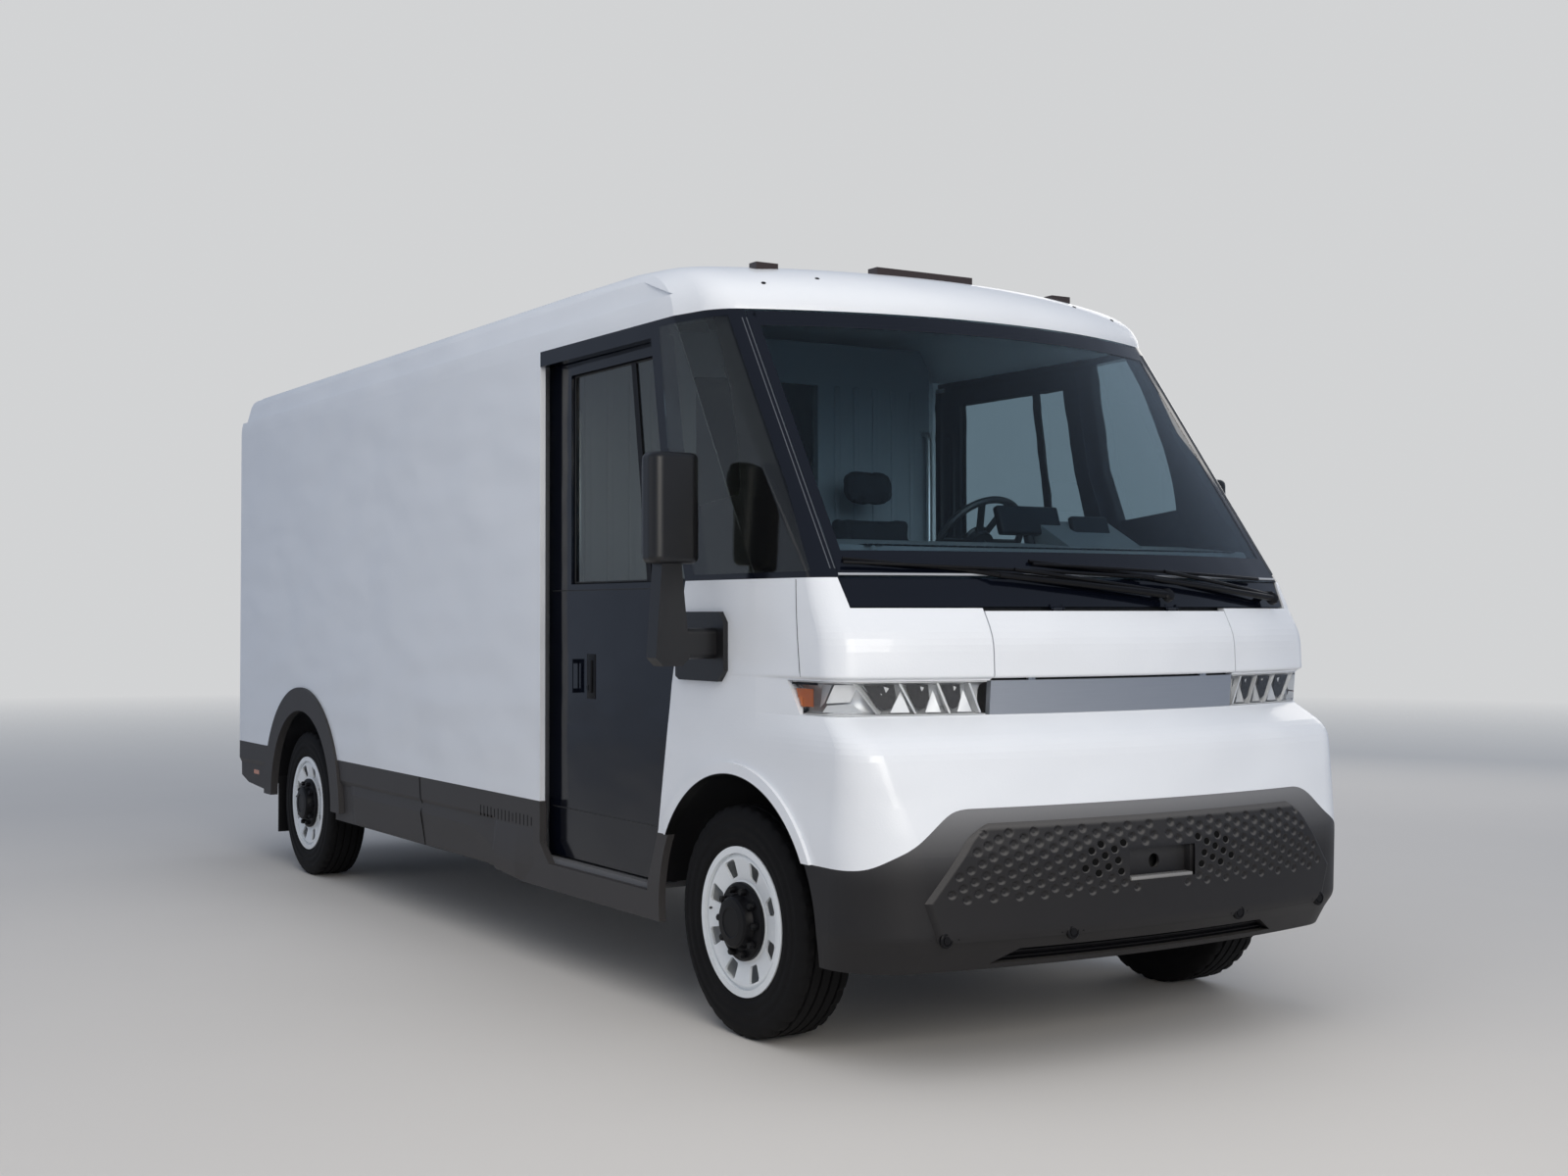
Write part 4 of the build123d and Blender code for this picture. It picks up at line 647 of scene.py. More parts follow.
class Skin:
    """Finds places on the outside of CAD nodes."""

    def __init__(self, *nodes: str) -> None:
        """Gathers the nodes' faces for casting rays at them."""
        from mathutils.bvhtree import BVHTree
        self.trees = []
        for name in nodes:
            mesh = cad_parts[name].data
            self.trees.append(BVHTree.FromPolygons([v.co.copy() for v in mesh.vertices],
                                                   [tuple(p.vertices) for p in mesh.polygons]))

    def hit(self, start: Point, way: Point) -> tuple[Vector, Vector] | None:
        """Finds where a ray first meets the skin.

        Args:
            start: where the ray starts.
            way: its direction.

        Returns:
            The place and the outward normal, or None.
        """
        best = None
        for tree in self.trees:
            place, normal, _, distance = tree.ray_cast(Vector(start), Vector(way))
            if place is not None and (best is None or distance < best[2]):
                best = (place, normal, distance)
        return (best[0], best[1]) if best else None

    def front(self, x: float, z: float, stand: float = 0.0) -> Vector:
        """Place on the front seen from ahead, stood off along the van."""
        found = self.hit((x, -6.0, z), (0, 1, 0))
        return (found[0] if found else Vector((x, -3.0, z))) + Vector((0, -stand, 0))

    def side(self, y: float, z: float, stand: float = 0.0, flip: int = -1) -> Vector:
        """Place on the side seen from beside, stood off sideways."""
        found = self.hit((flip * 3.0, y, z), (-flip, 0, 0))
        return (found[0] if found else Vector((flip * BODY_HALF, y, z))) + Vector((flip * stand, 0, 0))


# ---- finishes of the CAD nodes ------------------------------------------------------------------


@dataclass
class CadFinishes:
    """Finishes of the nodes that come from the CAD as they are."""

    screen_tint: Colour = (0.56, 0.74, 0.84)
    door_tint: Colour = (0.62, 0.61, 0.52)
    # radius round the front axle inside which the fascia gets painted shade
    arch: float = 0.5215

    def build(self) -> list[str]:
        """Dresses every CAD node.

        Returns:
            The names of the nodes.
        """
        plain = {
            "white": ("front_fascia", "hood_lid", "side_walls", "roof_shell", "roof_front_cap", "rear_frame"),
            "gloss": ("cab_frame", "cowl_panel", "door_left", "door_right"),
        }
        finishes = {name: WHITE_PAINT for name in plain["white"]}
        finishes |= {name: BLACK_GLOSS for name in plain["gloss"]}
        finishes |= {"front_bumper": CLADDING, "skirts": SKIRT, "mirrors": BLACK_PLASTIC,
                     "rear_bumper": SKIRT, "air_dam": BLACK_PLASTIC, "wheel_liners": BLACK_PLASTIC,
                     "wipers": SATIN_BLACK, "ladder_frame": CHASSIS, "front_axle_beam": CHASSIS,
                     "rear_axle_beam": CHASSIS, "knuckle_left": CHASSIS, "knuckle_right": CHASSIS,
                     "battery_pack": ALUMINIUM, "drive_unit": CASTING, "grille_band": BRUSHED,
                     "marker_lamps": AMBER, "tail_lamps": RED, "dashboard": DASH,
                     "steering_column": BLACK_PLASTIC, "steering_wheel": VINYL,
                     "driver_seat": CLOTH, "cab_bulkhead": CABIN_GREY, "floor_deck": DECK,
                     "rollup_door": WHITE_PAINT, "headlamps": CLEAR_LENS,
                     "bumper_panel": CLADDING}
        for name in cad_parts:
            if name.startswith("tyre_"):
                finishes[name] = RUBBER
            elif name.startswith("rim_"):
                finishes[name] = WHEEL_PAINT
        for name, finish in finishes.items():
            dresser.put(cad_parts[name], dresser.of(finish))
        for name, finish, other, where in (
                ("hood_lid", WHITE_PAINT, BLACK_GLOSS.colour,
                 lambda wires, at: wires.math("GREATER_THAN", at[2], 1.4992)),
                ("marker_lamps", AMBER, SMOKED.colour,
                 lambda wires, at: wires.math("GREATER_THAN", at[2], 1.0)),
                # painted shade on the fascia inside the front wheel arch
                ("front_fascia", WHITE_PAINT, HOLE_SHADE.colour, self.painted_arch_shade),
                # the bumper's upper edge gets a painted highlight in a paler grey
                ("front_bumper", CLADDING, (0.21, 0.21, 0.215), self.painted_brow_highlight)):
            dresser.put(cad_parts[name], dresser.two_tone(f"{finish.name} {name}", finish, other, where))
        clear = dresser.glass("screen glass", self.screen_tint, (0.88, 0.93, 0.97), 1.22)
        dark = dresser.glass("door glass", self.door_tint, (0.72, 0.76, 0.76), 1.45)
        dresser.put(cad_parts["windshield"], clear)
        for name in ("quarter_glasses", "door_glass_left", "door_glass_right"):
            dresser.put(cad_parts[name], dark)
        return list(finishes)

    def painted_arch_shade(self, wires: Wiring, at: tuple[Socket, ...]) -> Socket:
        """Mask of the faces that look into the front wheel arch, painted near black as the shade inside the
        arch.
        """
        along = wires.math("POWER", wires.math("ABSOLUTE", wires.math("SUBTRACT", at[1], FRONT_AXLE)), 2.0)
        above = wires.math("POWER", wires.math("ABSOLUTE", wires.math("SUBTRACT", at[2], AXLE_HEIGHT)), 2.0)
        return wires.math("LESS_THAN", wires.math("ADD", along, above), self.arch ** 2)

    def painted_brow_highlight(self, wires: Wiring, at: tuple[Socket, ...]) -> Socket:
        """Mask of the bumper's upper edge, painted lighter as a highlight from the light above; it fades
        downwards and round the corners.
        """
        up = wires.math("DIVIDE", wires.math("SUBTRACT", at[2], 0.60), 0.25, clamp=True)
        ahead = wires.math("DIVIDE", wires.math("SUBTRACT", -2.98, at[1]), 0.22, clamp=True)
        return wires.math("MULTIPLY", wires.math("MULTIPLY", up, up), wires.math("MULTIPLY", ahead, 0.9))


# ---- nose ---------------------------------------------------------------------------------------


@dataclass
class Nose:
    """Headlamps, centre band, bumper panel and what is set into them."""

    lamp_low: float = 1.155
    lamp_high: float = 1.267
    lamp_centre: Pair = (0.572, -2.80)
    lamp_depth: float = 0.062
    shadow_half: float = 0.560
    shadow_levels: Sequence[float] = (1.2750, 1.2725, 1.2700)
    first_scoop: Pair = (0.172, 0.727)
    pitch: float = 0.096
    shear: Pair = (0.041, 0.0187)
    scoop: Pair = (0.0180, 0.0150)
    scoop_depth: float = 0.0060
    panel: Sequence[Pair] = ((0.842, 0.566), (0.880, 0.590), (0.716, 0.796))
    holes_at: Sequence[tuple[int, int]] = ((0, 0), (0, 1), (0, 2), (0, 3), (0, 4), (1, 0), (1, 1), (-1, 3),
                                           (-1, 4), (-1, 5), (-2, 5))
    recess: tuple[float, float, float] = (0.150, 0.600, 0.706)
    panel_edge: Sequence[Pair] = ((0.879, 0.441), (0.929, 0.570), (0.7345, 0.814))
    sensors: Sequence[Pair] = ((0.858, 0.452), (0.383, 0.449))

    def __post_init__(self) -> None:
        """Gathers the skins that the pieces lie on."""
        self.skin = Skin("front_bumper", "bumper_panel")
        self.lamp_skin = Skin("headlamps")
        self.band_skin = Skin("grille_band", "front_fascia")
        self.dam_skin = Skin("air_dam")

    def build(self) -> list[str]:
        """Builds the nose's pieces.

        Returns:
            The names of the pieces.
        """
        made = []
        for side, flip in (("right", -1), ("left", 1)):
            made += self.headlamp(side, flip)
        made += [self.band(), self.panel_face(), self.holes(), self.tray(), self.sensor_set(), self.louvres()]
        return made

    def wrap(self, flip: int, turn: float, height: float, depth: float) -> Vector:
        """Place on or behind a lamp's outer face.

        Args:
            flip: 1 on the left, -1 on the right.
            turn: angle from straight ahead, outwards, in radians.
            height: height above the ground.
            depth: how far behind the face.

        Returns:
            The place.
        """
        centre = Vector((flip * self.lamp_centre[0], self.lamp_centre[1], height))
        out = Vector((flip * sin(turn), -cos(turn), 0))
        found = self.lamp_skin.hit(centre + out * 3.0, -out)
        face = found[0] if found else centre + out * 0.40
        return face - out * depth

    def corners(self, flip: int, start: float, places: Iterable[Point]) -> list[Vector]:
        """Corners of a facet, each by its degrees past a start, its height and its depth."""
        return [self.wrap(flip, radians(start + turn), height, depth) for turn, height, depth in places]

    def headlamp(self, side: str, flip: int) -> list[str]:
        """Builds one headlamp behind its clear lens."""
        turns = [radians(0.2 + 87.0 * n / 30) for n in range(31)]
        low, high, deep = self.lamp_low, self.lamp_high, self.lamp_depth
        bowl = Maker()
        bowl.sheet([[self.wrap(flip, t, z, d) for t in turns] for z, d in (
            (high, 0.004), (high - 0.004, 0.020), (high - 0.012, deep * 0.8), (high - 0.030, deep),
            (low + 0.030, deep), (low + 0.012, deep * 0.8), (low + 0.004, 0.020), (low, 0.004))])
        shell = place_mesh(f"lamp_bowl_{side}", bowl.done("lamp bowl"), "chassis", SILVERED)
        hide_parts("headlamps")
        fins, wedges, facets, eyes = Maker(), Maker(), Maker(), Maker()
        up, down = high - 0.010, low + 0.010
        for n, start in enumerate((5.5, 22.5, 40.0, 55.5)):
            turn, lean = radians(start), radians(3.4)
            along = Vector((flip * cos(turn), sin(turn), 0))
            fins.slab([self.wrap(flip, turn + lean, high - 0.006, 0.008),
                       self.wrap(flip, turn + lean, high - 0.006, 0.050),
                       self.wrap(flip, turn - lean, low + 0.006, 0.050),
                       self.wrap(flip, turn - lean, low + 0.006, 0.008)], along * 0.008)
            if n:
                wedges.slab(self.corners(flip, start, (
                    (1.6, up, 0.030), (-8.8, up, 0.030), (-9.6, down + 0.046, 0.030),
                    (-7.4, down + 0.014, 0.030), (-5.0, down + 0.010, 0.030), (-2.4, down + 0.020, 0.030))),
                    along.cross(Vector((0, 0, flip))) * 0.006)
                eyes.slab(self.corners(flip, start, (
                    (-5.2, up - 0.006, 0.022), (-8.0, up - 0.014, 0.026), (-6.6, down + 0.040, 0.028))),
                          along * 0.002)
                eyes.slab(self.corners(flip, start, (
                    (-2.2, up - 0.020, 0.026), (-4.4, up - 0.030, 0.024), (-4.0, down + 0.030, 0.028))),
                          along * 0.002)
                facets.slab(self.corners(flip, start, (
                    (-11.4, up - 0.022, 0.034), (-7.6, down, 0.016), (-15.6, down, 0.016))), along * 0.002)
        for shape in (
                ((72.5, up, 0.046), (67.0, up, 0.020), (70.5, down + 0.030, 0.018),
                 (74.0, down + 0.016, 0.044)),
                ((66.0, up, 0.020), (59.5, up, 0.046), (62.5, down + 0.036, 0.050),
                 (69.5, down + 0.030, 0.018)),
                ((69.0, down + 0.024, 0.018), (61.5, down + 0.030, 0.040), (57.5, down, 0.026),
                 (71.5, down, 0.022))):
            fins.slab(self.corners(flip, 0.0, shape), Vector((0, 0.002, 0)))
        for z in (high - 0.002, low + 0.002):
            facets.tube([self.wrap(flip, t, z, 0.003) for t in turns], 0.0020, 6)
        place_mesh(f"lamp_fins_{side}", fins.done("lamp fins"), "chassis", FACET)
        place_mesh(f"lamp_facets_{side}", facets.done("lamp facets"), "chassis", FACET)
        place_mesh(f"lamp_wedges_{side}", wedges.done("lamp wedges"), "chassis", SCREEN)
        place_mesh(f"lamp_eyes_{side}", eyes.done("lamp eyes"), "chassis", CHROME)
        amber, brow = Maker(), Maker()
        for n in range(2):
            amber.sheet([[self.wrap(flip, radians(76.0 + (reach - 76.0) * k / 8), z, 0.010 + 0.004 * n)
                          for k in range(9)]
                         for z, reach in ((high - 0.026, 88.0), ((high + low) / 2, 86.5),
                                          (low + 0.026, 84.0))])
        brow.sheet([[self.wrap(flip, radians(73.0 + 15.0 * k / 8), z, 0.006) for k in range(9)]
                    for z in (high - 0.005, high - 0.013)], 0.004, Vector((0, -1, 0)))
        place_mesh(f"lamp_amber_{side}", amber.done("lamp amber"), "chassis", AMBER)
        place_mesh(f"lamp_brow_{side}", brow.done("lamp brow"), "chassis", SATIN_BLACK)
        lens = Maker()
        lens.sheet([[self.wrap(flip, t, z, 0.0005) for t in turns] for z in (high, (high + low) / 2, low)])
        clear = dresser.glass("lamp lens", (0.93, 0.95, 0.97), (0.92, 0.93, 0.94))
        place_mesh(f"lamp_lens_{side}", lens.done("lamp lens"), "chassis", clear)
        return [f"lamp_{part}_{side}"
                for part in ("bowl", "fins", "facets", "wedges", "eyes", "amber", "brow", "lens")]

    def band(self) -> str:
        """Sets the dark line above the silver band."""
        half, levels, stand, steps = self.shadow_half, self.shadow_levels, 0.0012, 48
        rows = [[self.band_skin.front(-half + 2 * half * n / steps, z, stand) for n in range(steps + 1)]
                for z in levels]
        line = Maker().sheet(rows, stand + 0.004, Vector((0, -1, 0)))
        place_mesh("band_shadow_line", line.done("band_shadow_line"), "chassis", SATIN_BLACK)
        return "band_shadow_line"

    def reach_at(self, z: float, outline: Sequence[Pair]) -> float:
        """Half width of a three-cornered outline at a height."""
        (low_x, low_z), (mid_x, mid_z), (top_x, top_z) = outline
        if z < mid_z:
            return low_x + (mid_x - low_x) * (z - low_z) / (mid_z - low_z)
        return mid_x + (top_x - mid_x) * (z - mid_z) / (top_z - mid_z)

    def places(self) -> Iterable[tuple[float, float, bool]]:
        """Middles of the scoops on the left half.

        Yields:
            The x and z of each, and whether it is an air hole.
        """
        half, bottom, top = self.recess
        for row in range(-3, 9):
            z = self.first_scoop[1] - row * self.shear[1]
            for column in range(-5, 9):
                x = self.first_scoop[0] + column * self.pitch + row * self.shear[0]
                is_hole = (column, row) in self.holes_at
                if x < 0.030 or x > self.reach_at(z, self.panel):
                    continue
                if not is_hole and x < half + 0.018 and bottom - 0.020 < z < top + 0.020:
                    continue
                yield x, z, is_hole

    def panel_face(self) -> str:
        """Lays the bumper's centre panel with its field of scoops pressed in."""
        (_, low_z), (_, mid_z), (_, top_z) = self.panel_edge
        half, bottom, top = self.recess
        lip = 0.110
        levels = sorted({low_z + lip * n / 8 for n in range(9)}
                        | {low_z + lip + (top_z - low_z - lip) * n / 88 for n in range(89)}
                        | {mid_z, bottom, top}, reverse=True)
        scoops = list(self.places())
        maker = Maker()
        grid = []
        for z in levels:
            reach = self.reach_at(z, self.panel_edge) - 0.045 * max(0.0, 1.0 - (top_z - z) / 0.060) ** 2
            side = [half + (reach - half) * n / 250 for n in range(251)]
            middle = [half * n / 48 for n in range(48)]
            near = [(x, sz) for x, sz, _ in scoops if abs(sz - z) < self.scoop[1]]
            row = [-x for x in reversed(side)] + [-x for x in reversed(middle[1:])] + middle + side
            grid.append([maker.mesh.verts.new(self.panel_at(x, z, reach, near)) for x in row])
        grid.append([maker.mesh.verts.new(vert.co + Vector((0, 0.0150, 0))) for vert in grid[-1]])
        levels.append(low_z)
        for k in range(len(levels) - 1):
            for n in range(len(grid[0]) - 1):
                inside = 250 <= n < len(grid[0]) - 251 and bottom < (levels[k] + levels[k + 1]) / 2 < top
                if not inside:
                    maker.mesh.faces.new((grid[k][n], grid[k][n + 1], grid[k + 1][n + 1], grid[k + 1][n]))
        piece = place_mesh("bumper_face", maker.done("bumper face"), "chassis", CLADDING)
        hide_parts("bumper_panel")
        return "bumper_face"

    def panel_at(self, x: float, z: float, reach: float, near: Sequence[Pair]) -> Vector:
        """Place on the centre panel, pressed in at the scoops and rolled back towards its edges."""
        margin = min(reach - abs(x), self.panel_edge[2][1] - z)
        roll = max(0.0, 1.0 - margin / 0.022) ** 2
        press = 0.0
        for sx, sz in near:
            away = hypot((abs(x) - sx) / self.scoop[0], (z - sz) / self.scoop[1])
            if away < 1.0:
                step = min(1.0, (1.0 - away) / 0.5)
                press = step * step * (3.0 - 2.0 * step)
        return self.skin.front(x, z, -0.0005 - self.scoop_depth * press - 0.0150 * roll)

    def holes(self) -> str:
        """Sets discs of painted shade in the air holes each side of the recess."""
        maker = Maker()
        for x, z, is_hole in self.places():
            if is_hole:
                for flip in (-1, 1):
                    ring = [self.skin.front(flip * (x + 0.0150 * cos(a)), z + 0.0130 * sin(a),
                                            -self.scoop_depth * 0.55)
                            for a in (2 * pi * n / 14 for n in range(14))]
                    maker.slab(ring, Vector((0, 0.002, 0)))
        place_mesh("bumper_holes", maker.done("bumper holes"), "chassis", HOLE_SHADE)
        return "bumper_holes"

    def tray(self) -> str:
        """Lays the sill of the recess in the bumper's middle, painted pale as a highlight where its top
        catches light from above.
        """
        half, low, _ = self.recess
        front = self.skin.front(half + 0.02, low).y
        shelf = Maker().box((-half + 0.009, front + 0.001, low - 0.004),
                            (half - 0.009, front + 0.040, low + 0.011), 0.003)
        place_mesh("bumper_sill", shelf.done("bumper sill"), "chassis", SHELF_HIGHLIGHT)
        return "bumper_sill"

    def sensor_set(self) -> str:
        """Sets the round parking sensors and the screws beside them."""
        maker = Maker()
        for x, z in self.sensors:
            for flip in (-1, 1):
                place = self.skin.front(flip * x, z, 0.0035)
                maker.lathe([(0.026, -0.012), (0.026, -0.004), (0.022, -0.001), (0.0165, -0.001),
                             (0.016, -0.005), (0.014, -0.005), (0.0135, -0.001),
                             (0.0, -0.0005)], place, Vector((0, -1, 0)), 28)
                for shift in (-0.043, 0.043):
                    screw = self.skin.front(flip * x + shift, z + 0.004, 0.002)
                    maker.lathe([(0.006, -0.010), (0.006, -0.004), (0.004, -0.003), (0.0, -0.003)], screw,
                                Vector((0, -1, 0)), 14)
        place_mesh("parking_sensors", maker.done("parking sensors"), "chassis", SATIN_BLACK)
        return "parking_sensors"

    def louvres(self) -> str:
        """Runs the louvres across the lower intake."""
        maker = Maker()
        for row in range(4):
            z = 0.352 + 0.020 * row
            line = [self.dam_skin.front(-0.64 + 1.28 * n / 40, z, 0.0) for n in range(41)]
            maker.sheet([[p + Vector((0, -0.010, -0.004)) for p in line],
                         [p + Vector((0, 0.004, 0.005)) for p in line]],
                        0.003, Vector((0, 0, 1)))
        place_mesh("intake_louvres", maker.done("intake louvres"), "chassis", SATIN_BLACK)
        return "intake_louvres"


# ---- windshield surround ------------------------------------------------------------------------


@dataclass
class Screen:
    """Dark border, a light line at the glass's foot, painted highlight lines up the posts, wiper detail and
    mirror detail round the windshield.
    """

    low: float = 1.618
    high: float = 2.600
    band_low: float = 0.085
    band_high: float = 0.060
    band_side: float = 0.034

    def __post_init__(self) -> None:
        """Gathers the skins that the pieces lie on."""
        self.glass = Skin("windshield")
        self.post = Skin("cab_frame", "windshield", "quarter_glasses", "roof_front_cap", "front_fascia",
                         "cowl_panel")

    def reach(self, z: float) -> float:
        """Half width of the glass at a height."""
        low, high = 0.5, 1.12
        for _ in range(14):
            middle = (low + high) / 2
            found = self.glass.hit((middle, -6.0, z), (0, 1, 0))
            low, high = (middle, high) if found else (low, middle)
        return low

    def build(self) -> list[str]:
        """Builds the windshield's pieces.

        Returns:
            The names of the pieces.
        """
        return [self.border(), self.base_line(), self.post_lines(), self.wiper_detail(), self.fender_seams(),
                *self.mirror_detail()]

    def border(self) -> str:
        """Lays the dark printed border on the edge of the glass."""
        maker = Maker()
        stand = 0.0006
        for start, end in ((self.low, self.low + self.band_low), (self.high - self.band_high, self.high)):
            rows = []
            for z in (end, (start + end) / 2, start):
                half = self.reach(z) - 0.001
                rows.append([self.glass.front(-half + 2 * half * n / 60, z, stand) for n in range(61)])
            maker.sheet(rows)
        for flip in (-1, 1):
            rows = []
            for n in range(41):
                z = self.low + (self.high - self.low) * n / 40
                half = self.reach(z) - 0.001
                rows.append([self.glass.front(flip * (half - self.band_side * k / 2), z, stand)
                             for k in range(3)])
            maker.sheet(rows)
        place_mesh("screen_border", maker.done("screen border"), "chassis", BLACK_GLOSS)
        return "screen_border"

    def base_line(self) -> str:
        """Runs the thin light line along the foot of the glass."""
        maker = Maker()
        z = self.low + 0.004
        half = self.reach(z)
        maker.tube([self.glass.front(-half + 2 * half * n / 60, z, 0.001) for n in range(61)], 0.0045, 8)
        place_mesh("screen_base_line", maker.done("screen base line"), "chassis", PALE_TRIM)
        return "screen_base_line"

    def post_lines(self) -> str:
        """Runs thin pale lines up the front posts, painted highlights along the glass edges."""
        maker = Maker()
        for flip in (-1, 1):
            for gap in (0.004, 0.018):
                points = []
                for n in range(31):
                    z = 1.640 + 0.93 * n / 30
                    x = flip * (self.reach(min(z, self.high)) + gap)
                    found = self.post.hit((x, -6.0, z), (0, 1, 0))
                    if found and found[0].y < -2.0:
                        points.append(found[0] + found[1].normalized() * 0.0008)
                if len(points) > 3:
                    maker.tube(points, 0.0022, 6)
        place_mesh("post_trim_lines", maker.done("post highlight lines"), "chassis", POST_HIGHLIGHT)
        return "post_trim_lines"

    def wiper_detail(self) -> str:
        """Builds the wiper arms, blades and spindle caps over the glass."""
        maker = Maker()
        for (px, pz), (tx, tz) in (((0.231, 1.560), (-1.000, 1.668)), ((0.893, 1.552), (-0.330, 1.664))):
            arm, blade = [], []
            for n in range(13):
                t = n / 12
                x, z = px + (tx - px) * t, pz + (tz - pz) * t
                if t <= 0.62:
                    arm.append(self.post.front(x, z - 0.004, 0.040 - 0.016 * t))
                if t >= 0.24:
                    blade.append(self.post.front(x, z + 0.006, 0.010))
            maker.tube(arm, [0.013 - 0.0007 * n for n in range(len(arm))], 10)
            maker.tube(blade, [0.0065] * len(blade), 8)
            maker.tube([arm[-1], blade[len(blade) // 2]], 0.007, 8)
            root = arm[0]
            maker.lathe([(0.024, -0.012), (0.024, 0.006), (0.018, 0.012), (0.0, 0.014)], root,
                        Vector((0, -0.85, 0.5)), 20)
        place_mesh("wiper_arms", maker.done("wiper arms"), "chassis", SATIN_BLACK)
        return "wiper_arms"

    def fender_seams(self) -> str:
        """Draws the panel seams down the corners of the nose."""
        skin = Skin("front_fascia")
        maker = Maker()
        for flip in (-1, 1):
            points = []
            for n in range(24):
                z = 1.606 - 0.326 * n / 23
                found = skin.hit((flip * 3.0, -2.852 - 0.036 * n / 23, z), (-flip, 0, 0))
                if found:
                    points.append(found[0] + Vector((flip * 0.0002, 0, 0)))
            maker.tube(points, 0.0014, 6)
        place_mesh("fender_seams", maker.done("fender seams"), "chassis", SEAL)
        return "fender_seams"

    def mirror_detail(self) -> list[str]:
        """Adds the reflectors in the mirror heads and the rims round them."""
        plates, rims = Maker(), Maker()
        for flip in (-1, 1):
            heads = Skin("mirrors")
            for low, high in ((1.700, 1.875), (1.893, 2.028)):
                x0, x1 = flip * 1.228, flip * 1.392
                x0, x1 = min(x0, x1), max(x0, x1)
                back = heads.hit((flip * 1.31, 0.0, (low + high) / 2), (0, -1, 0))
                y = back[0].y if back else -2.13
                plates.box((x0 + 0.010, y - 0.004, low + 0.010), (x1 - 0.010, y + 0.0015, high - 0.010),
                           0.001)
                for a, b in (((x0, low), (x1, low + 0.010)), ((x0, high - 0.010), (x1, high)),
                             ((x0, low), (x0 + 0.010, high)), ((x1 - 0.010, low), (x1, high))):
                    rims.box((a[0], y - 0.004, a[1]), (b[0], y + 0.006, b[1]), 0.002)
        place_mesh("mirror_reflectors", plates.done("mirror reflectors"), "chassis", MIRROR)
        place_mesh("mirror_rims", rims.done("mirror rims"), "chassis", BLACK_PLASTIC)
        return ["mirror_reflectors", "mirror_rims"]


# ---- wheels -------------------------------------------------------------------------------------


